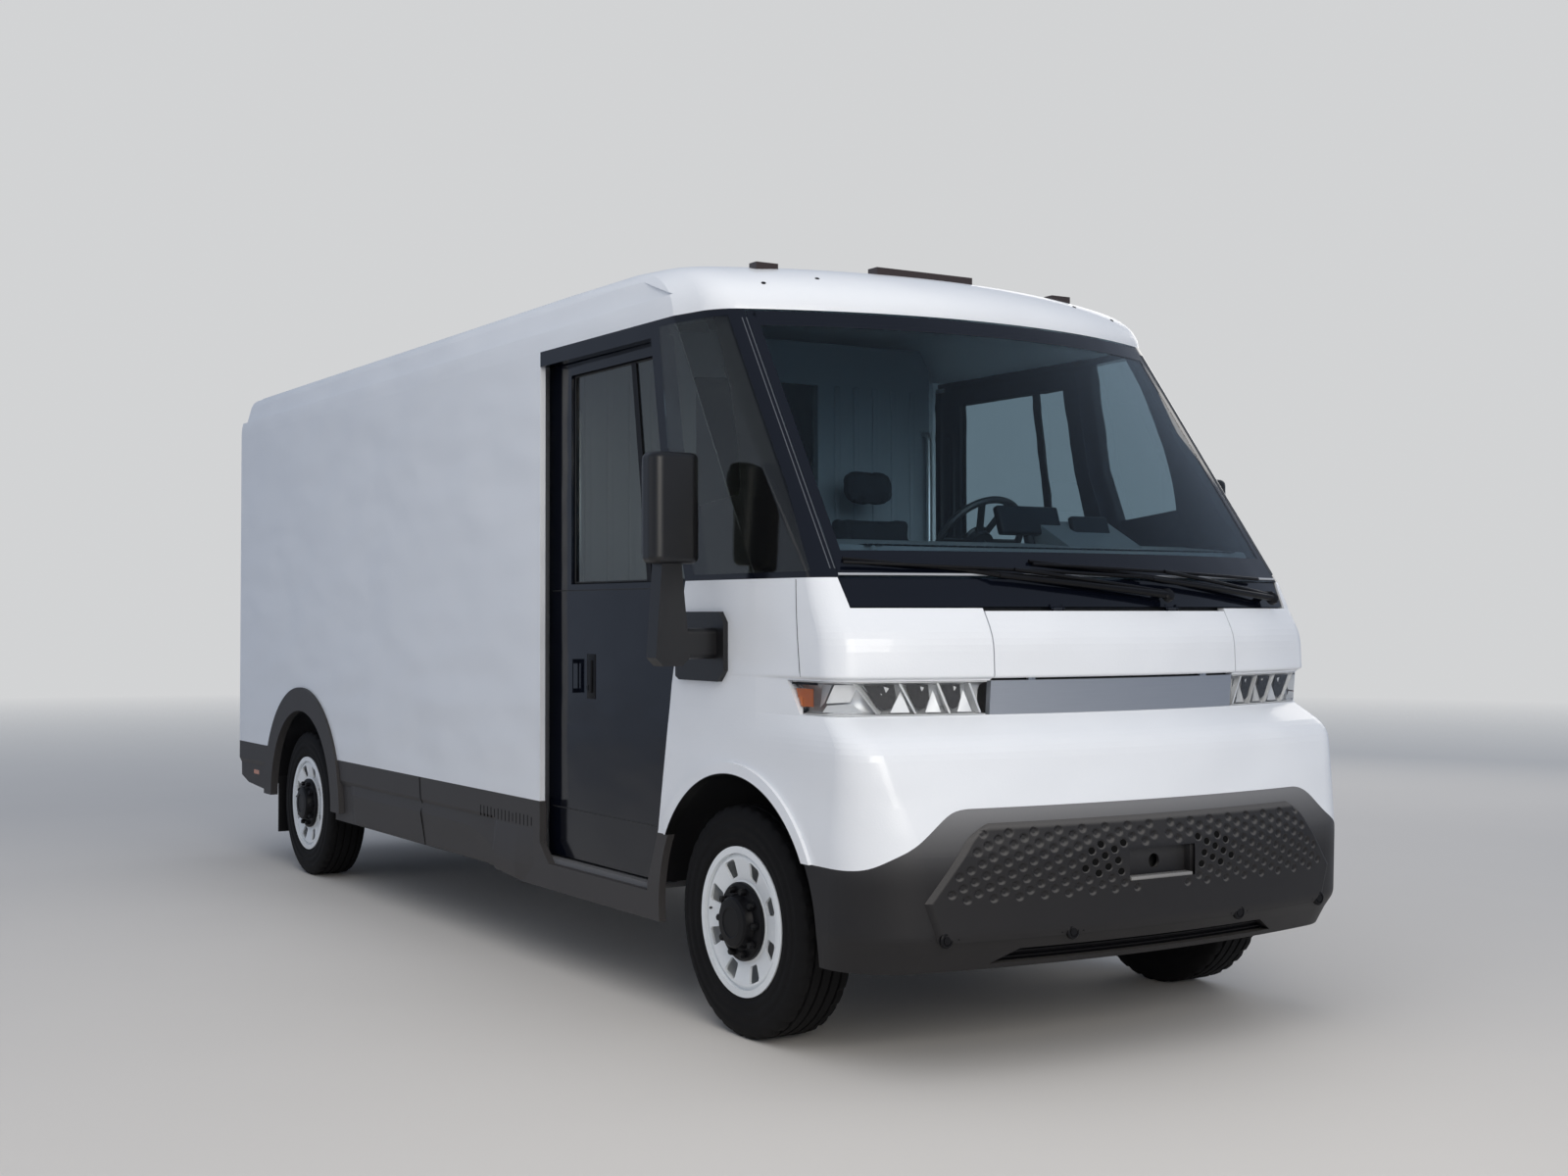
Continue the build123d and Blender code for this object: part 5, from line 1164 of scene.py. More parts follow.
@dataclass
class Wheels:
    """Tyres with tread and ribs, hub covers and valves."""

    track_half: float = 0.985
    tyre_outer: float = 0.4065
    disc: float = 1.077
    steps: int = 144

    def build(self) -> list[str]:
        """Builds the details of all four wheels.

        Returns:
            The names of the pieces.
        """
        made = []
        for end, y in (("front", FRONT_AXLE), ("rear", REAR_AXLE)):
            for side, flip in (("right", -1), ("left", 1)):
                made += self.wheel(end, side, Vector((flip * self.track_half, y, AXLE_HEIGHT)), flip)
        return made

    def wheel(self, end: str, side: str, centre: Vector, flip: int) -> list[str]:
        """Builds one wheel's pieces.

        Args:
            end: front or rear.
            side: right or left.
            centre: middle of the tyre.
            flip: 1 on the left, -1 on the right.

        Returns:
            The names of the pieces.
        """
        body = f"{end}_{side}_wheel"
        key = f"{end}_{side}"
        tyre = place_mesh(f"tyre_tread_{key}", self.tyre(centre), body, RUBBER)
        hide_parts(f"tyre_{key}")
        out = Vector((flip, 0, 0))
        face = Vector((flip * self.disc, centre.y, centre.z))
        cover = Maker().lathe([(0.118, -0.004), (0.138, -0.002), (0.138, 0.010), (0.131, 0.016),
                               (0.098, 0.018), (0.094, 0.024), (0.090, 0.044), (0.082, 0.051),
                               (0.054, 0.0535), (0.050, 0.0505), (0.0, 0.0505)], face, out, 56)
        for n in range(10):
            way = Vector((0, cos(2 * pi * n / 10), sin(2 * pi * n / 10)))
            cover.lathe([(0.0135, 0.014), (0.0135, 0.032), (0.010, 0.037), (0.0, 0.037)], face + way * 0.114,
                        out, 6)
        place_mesh(f"hub_cover_{key}", cover.done("hub cover"), body, SATIN_BLACK)
        rim_lip = Maker().lathe([(0.244, 0.002), (0.252, 0.012), (0.262, 0.0115), (0.2625, 0.004),
                                 (0.256, 0.000)],
                                Vector((flip * 1.077, centre.y, centre.z)), out, 96, closed=True)
        place_mesh(f"rim_lip_{key}", rim_lip.done("rim lip"), body, WHEEL_PAINT)
        valve = Maker().tube([face + Vector((0, 0.212, 0.02)) - out * 0.02,
                              face + Vector((0, 0.205, 0.02)) + out * 0.012], 0.0045, 10)
        place_mesh(f"valve_{key}", valve.done("valve"), body, SEAL)
        return [f"{part}_{key}" for part in ("tyre_tread", "hub_cover", "rim_lip", "valve")]

    def tyre(self, centre: Vector) -> bpy.types.Mesh:
        """Turns a tyre with ribs on its sides, grooves round it and blocks on its shoulders."""
        top = self.tyre_outer
        wall = [(0.254, 0.080), (0.262, 0.098), (0.270, 0.1045), (0.276, 0.1045), (0.279, 0.1070),
                (0.300, 0.1100), (0.303, 0.1088), (0.318, 0.1110), (0.321, 0.1122), (0.336, 0.1124),
                (0.339, 0.1112), (0.356, 0.1100), (0.359, 0.1110), (0.368, 0.1095), (0.380, 0.1060),
                (0.391, 0.1020), (top - 0.006, 0.0965)]
        tread = [(top - 0.001, 0.090), (top, 0.066), (top - 0.009, 0.064), (top - 0.009, 0.057), (top, 0.055),
                 (top, 0.026), (top - 0.009, 0.024), (top - 0.009, 0.017), (top, 0.015)]
        half = wall + tread
        profile = half + [(r, -h) for r, h in reversed(half)]
        shoulder = {i for i, (r, h) in enumerate(profile) if abs(h) > 0.06 and r > 0.392}
        maker = Maker()
        rings = []
        for n in range(self.steps):
            a = 2 * pi * n / self.steps
            notch = 0.007 if n % 4 == 0 else 0.0
            ring = []
            for i, (radius, height) in enumerate(profile):
                r = radius - (notch if i in shoulder else 0.0)
                ring.append(maker.mesh.verts.new(centre + Vector((height, r * cos(a), r * sin(a)))))
            rings.append(ring)
        for n, ring in enumerate(rings):
            maker.bridge_open(ring, rings[(n + 1) % self.steps])
        return maker.done("tyre")


# ---- side doors ---------------------------------------------------------------------------------


def outline_of(node: str, outer: float, axis: int = 0) -> list[Vector]:
    """Finds the outline of a flat CAD pane, in order round its middle.

    Args:
        node: CAD node of the pane.
        outer: 1 for its face on the positive side, -1 for the other.
        axis: axis the pane faces along.

    Returns:
        The corners of that face.
    """
    places = [v.co.copy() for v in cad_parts[node].data.vertices]
    edge = max(outer * p[axis] for p in places)
    face = {tuple(round(c, 4) for c in p) for p in places if abs(outer * p[axis] - edge) < 0.0005}
    one, two = [k for k in range(3) if k != axis]
    middle = [sum(p[k] for p in face) / len(face) for k in range(3)]
    return [Vector(p) for p in sorted(face, key=lambda p: atan2(p[two] - middle[two], p[one] - middle[one]))]


@dataclass
class SideDoors:
    """Gaskets, dividers, seams and handles of the two sliding doors."""

    divider: Sequence[Pair] = ((-1.742, 1.616), (-1.612, 2.488))
    seam_heights: Pair = (0.674, 1.588)
    handle: tuple[float, float, float, float] = (-1.292, -1.252, 1.166, 1.300)

    def build(self) -> list[str]:
        """Builds both doors' pieces.

        Returns:
            The names of the pieces.
        """
        made = []
        for side, flip in (("right", -1), ("left", 1)):
            made += self.door(side, flip)
        return made

    def door(self, side: str, flip: int) -> list[str]:
        """Builds one door's pieces.

        Args:
            side: right or left.
            flip: 1 on the left, -1 on the right.

        Returns:
            The names of the pieces.
        """
        body = f"{side}_door"
        skin = Skin(f"door_{side}", f"door_glass_{side}")
        pane = outline_of(f"door_glass_{side}", flip)
        out = Vector((flip, 0, 0))
        gasket = Maker()
        ring = [p + out * 0.0012 for p in pane]
        middle = sum(pane, Vector()) / len(pane)
        rows = [[middle + (p - middle) * (1 - 0.012 * k) + out * (0.0030 if k == 1 else 0.0)
                 for p in ring + ring[:1]]
                for k in (0, 1, 2)]
        gasket.sheet(rows)
        place_mesh(f"door_gasket_{side}", gasket.done("door gasket"), body, SEAL)
        bar = Maker()
        (y0, z0), (y1, z1) = self.divider
        face = skin.side(y0, (z0 + z1) / 2, 0.0, flip).x
        bar.slab([(face + flip * 0.005, y0 - 0.019, z0), (face + flip * 0.005, y0 + 0.019, z0),
                  (face + flip * 0.005, y1 + 0.019, z1), (face + flip * 0.005, y1 - 0.019, z1)], -out * 0.016)
        place_mesh(f"door_divider_{side}", bar.done("door divider"), body, SATIN_BLACK,
                   smooth=False)
        y0, y1, z0, z1 = self.handle
        grip = Maker()
        face = skin.side(y0 - 0.03, z0, 0.0, flip).x
        low, high = sorted((face - flip * 0.004, face + flip * 0.0025))
        grip.box((low, y0 - 0.022, z0 - 0.025), (high, y1 + 0.012, z1 + 0.025), 0.002, segments=3)
        low, high = sorted((face - flip * 0.002, face + flip * 0.009))
        grip.box((low, y0, z0), (high, y0 + 0.022, z1), 0.004, segments=3)
        grip.lathe([(0.010, 0.0), (0.010, 0.004), (0.004, 0.0042), (0.0, 0.003)],
                   (face + flip * 0.0015, y1, z0 + 0.02), out, 20)
        place_mesh(f"door_handle_{side}", grip.done("door handle"), body, SATIN_BLACK)
        seam = Maker()
        for z in self.seam_heights:
            ends = []
            for n in range(120):
                y = -2.15 + 1.23 * n / 119
                found = skin.hit((flip * 3.0, y, z), (-flip, 0, 0))
                if found and abs(found[0].x) > 1.0:
                    ends.append(found[0] + out * 0.0008)
            if len(ends) > 3:
                rise = Vector((0, 0, 0.0022))
                seam.sheet([[p + rise for p in ends], [p - rise for p in ends]], 0.004, out)
        place_mesh(f"door_seams_{side}", seam.done("door seams"), body, SEAL)
        return [f"door_{part}_{side}" for part in ("gasket", "divider", "handle", "seams")]


# ---- load body and rear -------------------------------------------------------------------------


@dataclass
class LoadBody:
    """Roof screws, side seams, roll-up door, rear lamps, handles and step."""

    slats: int = 13
    door: tuple[float, float, float, float] = (0.893, 3.375, 0.764, 2.436)
    lamp: tuple[float, float, float, float] = (0.990, 3.415, 1.350, 1.650)
    back: float = 3.397
    step: tuple[float, float, float, float] = (0.80, 3.385, 3.412, 0.690)
    crest: float = 0.572
    crease: Sequence[Pair] = ((-0.862, 0.415), (-0.700, 0.415), (-0.610, 0.419), (-0.517, 0.434),
                              (-0.430, 0.462), (-0.350, 0.488), (-0.270, 0.508), (-0.180, 0.520),
                              (0.000, 0.524), (1.400, 0.524))
    proud: float = 0.018
    vent_height: float = 0.601

    def build(self) -> list[str]:
        """Builds the body's pieces.

        Returns:
            The names of the pieces.
        """
        return [self.roof_screws(), self.slat_faces(), self.latch(), self.lamp_faces(), self.handles(),
                self.top_lamps(), self.tread(), self.skirt_shoulders(), self.skirt_vents()]

    def roof_screws(self) -> str:
        """Sets the screws along the front cap's seams."""
        skin = Skin("roof_front_cap", "roof_shell", "side_walls")
        maker = Maker()
        for flip in (-1, 1):
            for x, y in ((0.866, -2.270), (0.640, -2.262)):
                found = skin.hit((flip * x, y - 0.6, 3.4), (0, 0.6, -0.7))
                if found and found[0].z > 2.5:
                    maker.lathe([(0.009, -0.003), (0.009, 0.0014), (0.006, 0.0030), (0.0, 0.0030)], found[0],
                                found[1], 14)
        place_mesh("roof_screws", maker.done("roof screws"), "chassis", SATIN_BLACK)
        return "roof_screws"

    def slat_faces(self) -> str:
        """Lays the ribbed slats on the roll-up door."""
        half, back, low, high = self.door
        maker = Maker()
        pitch = (high - low) / self.slats
        for n in range(self.slats):
            z = low + n * pitch
            maker.box((-half, back - 0.003, z + 0.0035), (half, back + 0.0045, z + pitch - 0.0035), 0.0028,
                      segments=2)
            for rib in (0.33, 0.66):
                maker.box((-half + 0.02, back + 0.003, z + pitch * rib - 0.004),
                          (half - 0.02, back + 0.0075, z + pitch * rib + 0.004),
                          0.0018, segments=2)
        place_mesh("rollup_slats", maker.done("roll-up slats"), "chassis", WHITE_PAINT)
        return "rollup_slats"

    def latch(self) -> str:
        """Mounts the latch plate and its turning handle low on the roll-up door."""
        _, back, low, _ = self.door
        maker = Maker()
        maker.box((-0.085, back + 0.002, low + 0.030), (0.085, back + 0.011, low + 0.150), 0.003)
        maker.tube([(-0.055, back + 0.020, low + 0.090), (0.0, back + 0.022, low + 0.090),
                    (0.060, back + 0.020, low + 0.090)],
                   [0.008, 0.012, 0.008], 14)
        maker.lathe([(0.024, 0.0), (0.024, 0.008), (0.018, 0.013), (0.0, 0.014)],
                    (0, back + 0.008, low + 0.090), Vector((0, 1, 0)), 28)
        for x in (-0.070, 0.070):
            for z in (0.045, 0.135):
                maker.lathe([(0.006, 0.0), (0.006, 0.002), (0.0, 0.003)], (x, back + 0.0105, low + z),
                            Vector((0, 1, 0)), 12)
        place_mesh("rollup_latch", maker.done("roll-up latch"), "chassis", ALUMINIUM)
        return "rollup_latch"

    def lamp_faces(self) -> str:
        """Sets the lens fields and their bezels in the rear lamps."""
        x0, face, low, high = self.lamp
        third = (high - low) / 3
        fields = ((low, AMBER, "amber_lens", "amber"), (low + third, CLEAR_LENS, "lamp_lens", "clear"),
                  (low + 2 * third, RED, "red_lens", "red"))
        for z, finish, slot, word in fields:
            maker = Maker()
            for flip in (-1, 1):
                x = flip * x0
                maker.box((x - 0.037, face - 0.002, z + 0.006), (x + 0.037, face + 0.0035, z + third - 0.006),
                          0.003)
                for ring in (0.028, 0.020, 0.012):
                    maker.lathe([(ring, 0.002), (ring - 0.001, 0.0045), (ring - 0.004, 0.0045),
                                 (ring - 0.005, 0.002)],
                                (x, face + 0.0008, z + third / 2), Vector((0, 1, 0)), 32)
            place_mesh(f"rear_lens_{word}", maker.done("rear lens"), "chassis", finish)
        bezel = Maker()
        for flip in (-1, 1):
            x = flip * x0
            for a, b in (((-0.049, low - 0.004), (-0.0405, high + 0.004)),
                         ((0.0405, low - 0.004), (0.049, high + 0.004)),
                         ((-0.049, low - 0.006), (0.049, low + 0.003)),
                         ((-0.049, high - 0.003), (0.049, high + 0.006))):
                bezel.box((x + a[0], self.back - 0.001, a[1]), (x + b[0], face + 0.002, b[1]), 0.002)
        place_mesh("rear_lamp_bezels", bezel.done("rear lamp bezels"), "chassis",
                   SATIN_BLACK)
        return "rear_lamp_bezels"

    def handles(self) -> str:
        """Mounts the grab handles beside the rear opening."""
        maker = Maker()
        for flip in (-1, 1):
            x = flip * 0.990
            maker.tube([(x, self.back - 0.004, 0.985), (x, self.back + 0.010, 0.990),
                        (x, self.back + 0.014, 1.005), (x, self.back + 0.014, 1.240),
                        (x, self.back + 0.010, 1.255), (x, self.back - 0.004, 1.260)], 0.0085, 14)
            for z in (0.985, 1.260):
                maker.lathe([(0.020, -0.001), (0.020, 0.004), (0.014, 0.006), (0.0, 0.006)],
                            (x, self.back, z), Vector((0, 1, 0)), 24)
        place_mesh("rear_grab_handles", maker.done("rear grab handles"), "chassis", ALUMINIUM)
        return "rear_grab_handles"

    def top_lamps(self) -> str:
        """Sets the row of small marker lamps above the rear opening."""
        maker, base = Maker(), Maker()
        for x in (-0.95, -0.20, 0.0, 0.20, 0.95):
            base.box((x - 0.050, self.back - 0.003, 2.555), (x + 0.050, self.back + 0.006, 2.590), 0.003)
            maker.box((x - 0.042, self.back + 0.002, 2.560), (x + 0.042, self.back + 0.015, 2.585), 0.005,
                      segments=3)
        place_mesh("top_lamp_bases", base.done("top lamp bases"), "chassis", SATIN_BLACK)
        place_mesh("top_lamps", maker.done("top lamps"), "chassis", RED)
        return "top_lamps"

    def tread(self) -> str:
        """Raises the grip bars on the rear step."""
        half, _, back, top = self.step
        skin = Skin("rear_bumper")
        maker = Maker()
        for n in range(33):
            x = -half + 2 * half * n / 32
            found = skin.hit((x, back - 0.03, 1.2), (0, 0, -1))
            if found and found[0].z < 0.75:
                maker.box((x - 0.008, back - 0.060, found[0].z - 0.002),
                          (x + 0.008, back, found[0].z + 0.0035), 0.0015)
        place_mesh("rear_step_grip", maker.done("rear step grip"), "chassis", BLACK_PLASTIC)
        return "rear_step_grip"

    def crease_at(self, y: float) -> float:
        """Height of the skirts' crease at a place along the van."""
        for (near, low), (far, high) in zip(self.crease, self.crease[1:]):
            if y <= far:
                return low + (high - low) * (y - near) / (far - near)
        return self.crease[-1][1]

    def proud_at(self, y: float, z: float) -> float:
        """How far a skirt's lower half stands proud at a place."""
        ends = max(0.0, min(1.0, (self.crease[-1][0] + 0.02 - y) / 0.08,
                            (y + 0.002 - self.crease[0][0]) / 0.16))
        return ends * self.proud * max(0.0, min(1.0, (self.crest - z) / (self.crest - self.crease_at(y))))

    def skirt_shoulders(self) -> str:
        """Stands the lower half of each skirt proud, under a sloping shoulder."""
        skin = Skin("skirts")
        maker = Maker()
        for flip in (-1, 1):
            rows: list[list[Vector]] = [[] for _ in range(7)]
            for n in range(120):
                y = self.crease[0][0] + (self.crease[-1][0] - self.crease[0][0]) * n / 119
                fold, low = self.crease_at(y), 0.300
                while low < fold - 0.030 and not skin.hit((flip * 3.0, y, low + 0.004), (-flip, 0, 0)):
                    low += 0.002
                section = ((self.crest + 0.004, -0.002), (self.crest, 0.0), (fold + 0.003, 0.0),
                           (fold - 0.003, -0.0005), (fold - 0.014, -0.002), (low + 0.012, -0.011),
                           (low + 0.004, -0.020))
                for row, (z, stand) in zip(rows, section):
                    row.append(skin.side(y, z, self.proud_at(y, z) + stand, flip))
            maker.sheet(rows)
        place_mesh("skirt_shoulders", maker.done("skirt shoulders"), "chassis", SKIRT)
        return "skirt_shoulders"

    def skirt_vents(self) -> str:
        """Lays the upright vent slots behind the doors as dark boxes of painted shade, and the dark joint
        across each skirt.
        """
        skin = Skin("skirts")
        maker = Maker()
        for flip in (-1, 1):
            for n in range(15):
                y = -0.845 + 0.038 * n
                tall = 0.024 if n % 5 else 0.019
                z = self.vent_height
                low, high = sorted(skin.side(y, z, stand, flip).x for stand in (-0.003, 0.0008))
                # dark box of painted shade filling the vent slot
                maker.box((low, y - 0.0035, z - tall), (high, y + 0.0035, z + tall), 0.0015)
            joint = []
            for n in range(40):
                z = 0.692 - 0.322 * n / 39
                y = 0.416 - 0.16 * max(0.0, 0.685 - z)
                share = 1.0 if z > 0.51 else 0.35 + 0.65 * (z - 0.367) / 0.143
                joint.append(skin.side(y, z, self.proud_at(y, z) * share + 0.0022, flip))
            along = Vector((0, 0.0028, 0))
            maker.sheet([[p + along for p in joint], [p - along for p in joint]], 0.003, Vector((flip, 0, 0)))
        place_mesh("skirt_vents", maker.done("skirt vents"), "chassis", HOLE_SHADE)
        return "skirt_vents"


# ---- cabin --------------------------------------------------------------------------------------


@dataclass
class DriverSeat:
    """Sprung driver's seat: boot, pan, cushion, back and headrest."""

    middle: float = 0.430
    hip: float = -1.229
    floor: float = 0.735
    cushion_top: float = 1.300
    half: float = 0.236
    inset: float = 0.014
    cap: float = 0.020
    voxel: float = 0.007

    def build(self) -> list[str]:
        """Builds the seat's pieces.

        Returns:
            The names of the pieces.
        """
        self.base()
        self.pad("seat_cushion", self.cushion_form(), self.cushion_channels, 0.55)
        self.pad("seat_back", self.back_form(), self.back_channels, 0.55)
        self.pad("seat_headrest", self.head_form(), self.head_channels, 0.7)
        return ["seat_boot", "seat_pan", "seat_cushion", "seat_back", "seat_headrest"]

    def base(self) -> None:
        """Builds the pleated boot and the pan that carry the cushions."""
        x, y = self.middle, self.hip - 0.260
        boot = Maker()
        boot.box((x - 0.150, y - 0.170, self.floor), (x + 0.150, y + 0.170, self.floor + 0.050), 0.008)
        for n in range(9):
            z = self.floor + 0.045 + 0.0385 * n
            shrink = 0.010 if n % 2 else 0.0
            boot.box((x - 0.138 + shrink, y - 0.158 + shrink, z),
                     (x + 0.138 - shrink, y + 0.158 - shrink, z + 0.042), 0.012)
        piece = place_mesh("seat_boot", boot.done("seat boot"), "chassis", BLACK_PLASTIC)
        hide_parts("driver_seat")
        pan = Maker()
        pan.box((x - 0.226, y - 0.205, 1.150), (x + 0.226, y + 0.215, 1.186), 0.010)
        for flip in (-1, 1):
            low, high = sorted((x + flip * 0.228, x + flip * 0.249))
            pan.box((low, y - 0.120, 1.182), (high, y + 0.225, 1.262), 0.009, segments=3)
            pan.lathe([(0.020, 0.0), (0.020, 0.008), (0.014, 0.012), (0.0, 0.012)],
                      (x + flip * 0.236, y + 0.180, 1.225), Vector((flip, 0, 0)), 24)
        place_mesh("seat_pan", pan.done("seat pan"), "chassis", SATIN_BLACK)

    def along(self, z: float) -> float:
        """Middle of the back's thickness at a height."""
        return self.hip - 0.055 + 0.115 * (z - 1.240) / 0.720

    def cushion_form(self) -> Maker:
        """Starts the cushion: a middle pad between two raised sides."""
        x, s = self.middle, self.inset
        low, high = 1.186 + s * 0.2, self.cushion_top - s
        form = Maker()
        form.box((x - self.half + s, self.hip - 0.490, low),
                 (x + self.half - s, self.hip - 0.010, high - 0.022), 0.030, segments=4)
        for flip in (-1, 1):
            a, b = sorted((x + flip * (self.half - s), x + flip * 0.150))
            form.box((a, self.hip - 0.480, low + 0.010), (b, self.hip - 0.020, high), 0.030, segments=4)
        form.box((x - self.half + 0.03, self.hip - 0.488, low + 0.010),
                 (x + self.half - 0.03, self.hip - 0.400, high - 0.006), 0.034,
                 segments=4)
        return form

    def back_form(self) -> Maker:
        """Starts the back: a leaning pad with side rolls and a shoulder roll."""
        x, s = self.middle, self.inset
        lean = Matrix.Rotation(-atan2(0.115, 0.720), 3, "X")
        form = Maker()
        thick = 0.050 - s
        middle_y, middle_z = self.along(1.600), 1.600

        def part(half_a: float, half_b: float, low: float, high: float, near: float, far: float,
                 edge: float) -> None:
            """Adds one pad of the back in its leaning frame."""
            a = Vector((half_a, -near, low))
            b = Vector((half_b, far, high))
            centre = (a + b) / 2
            size = (b - a) / 2
            place = Vector((x, middle_y, middle_z)) + lean @ centre
            form.box(tuple(place - size), tuple(place + size), edge, lean, 4)

        part(-self.half + s + 0.004, self.half - s - 0.004, -0.335, 0.335, thick - 0.012, thick, 0.028)
        for flip in (-1, 1):
            a, b = sorted((flip * (self.half - s - 0.004), flip * 0.155))
            part(a, b, -0.310, 0.250, thick, thick - 0.010, 0.028)
        part(-0.190, 0.190, 0.190, 0.335, thick, thick - 0.006, 0.030)
        part(-0.150, 0.150, -0.300, -0.110, thick, thick - 0.010, 0.030)
        return form

    def head_form(self) -> Maker:
        """Starts the headrest."""
        x, s = self.middle, self.inset
        lean = Matrix.Rotation(-atan2(0.030, 0.200), 3, "X")
        form = Maker()
        ring = []
        for n in range(48):
            c, h = cos(2 * pi * n / 48), sin(2 * pi * n / 48)
            out = Vector((copysign(abs(c) ** 0.62, c) * (0.140 - s), 0,
                          copysign(abs(h) ** 0.62, h) * (0.094 - s)))
            ring.append(Vector((x, self.hip + 0.036 + s, 2.066)) + lean @ out)
        form.slab(ring, Vector((0, 0.078 - 2 * s, 0)))
        return form

    def cushion_channels(self, place: Vector) -> float:
        """Depth of the cushion's sewn lines at a place."""
        side = abs(place.x - self.middle)
        depth = 0.006 * exp(-((side - 0.150) / 0.006) ** 2)
        if side < 0.150:
            for y in (self.hip - 0.385, self.hip - 0.260, self.hip - 0.140):
                depth = max(depth, 0.005 * exp(-((place.y - y) / 0.006) ** 2))
        return depth if place.z > 1.235 else 0.0

    def back_channels(self, place: Vector) -> float:
        """Depth of the back's sewn lines at a place."""
        side = abs(place.x - self.middle)
        depth = 0.006 * exp(-((side - 0.155) / 0.006) ** 2)
        if side < 0.155:
            for z in (1.480, 1.620, 1.780):
                depth = max(depth, 0.005 * exp(-((place.z - z) / 0.006) ** 2))
        return depth if place.y < self.along(place.z) else 0.0

    def head_channels(self, place: Vector) -> float:
        """Depth of the headrest's sewn line at a place."""
        return 0.004 * exp(-((abs(place.x - self.middle) - 0.095) / 0.005) ** 2)

    def pad(self, name: str, form: Maker, channels: Callable[[Vector], float], fill: float) -> None:
        """Swells a form into a sewn pad.

        Args:
            name: name of the piece.
            form: the form it starts from.
            channels: depth of the sewn lines at a place.
            fill: how tightly it is filled, from 0 to 1; not used.
        """
        piece = bpy.data.objects.new(name, form.done(name))
        bpy.context.scene.collection.objects.link(piece)
        shell = piece.modifiers.new("shell", "REMESH")
        shell.mode = "VOXEL"
        shell.voxel_size = self.voxel
        self.apply(piece)
        self.swell(piece)
        round_off = piece.modifiers.new("round off", "SUBSURF")
        round_off.levels = 1
        self.apply(piece)
        mesh = piece.data
        normals = [v.normal.copy() for v in mesh.vertices]
        for vertex, normal in zip(mesh.vertices, normals):
            vertex.co -= normal * channels(vertex.co)
        mesh.shade_smooth()
        dresser.put(piece, dresser.of(CLOTH))
        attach(piece, "chassis")
        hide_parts("driver_seat")

    def apply(self, piece: bpy.types.Object) -> None:
        """Turns a piece's modifiers into its mesh."""
        bpy.context.view_layer.update()
        mesh = bpy.data.meshes.new_from_object(piece.evaluated_get(bpy.context.evaluated_depsgraph_get()))
        piece.modifiers.clear()
        piece.data = mesh

    def swell(self, piece: bpy.types.Object) -> None:
        """Blows a piece up as filled cloth, no further than the cap."""
        rest = [v.co.copy() for v in piece.data.vertices]
        cloth = piece.modifiers.new("filling", "CLOTH")
        cloth.settings.use_pressure = True
        cloth.settings.uniform_pressure_force = 4.0
        cloth.settings.effector_weights.gravity = 0.0
        for step in range(1, 21):
            bpy.context.scene.frame_set(step)
        self.apply(piece)
        bpy.context.scene.frame_set(1)
        for vertex, start in zip(piece.data.vertices, rest):
            moved = vertex.co - start
            if moved.length > self.cap:
                vertex.co = start + moved * (self.cap / moved.length)


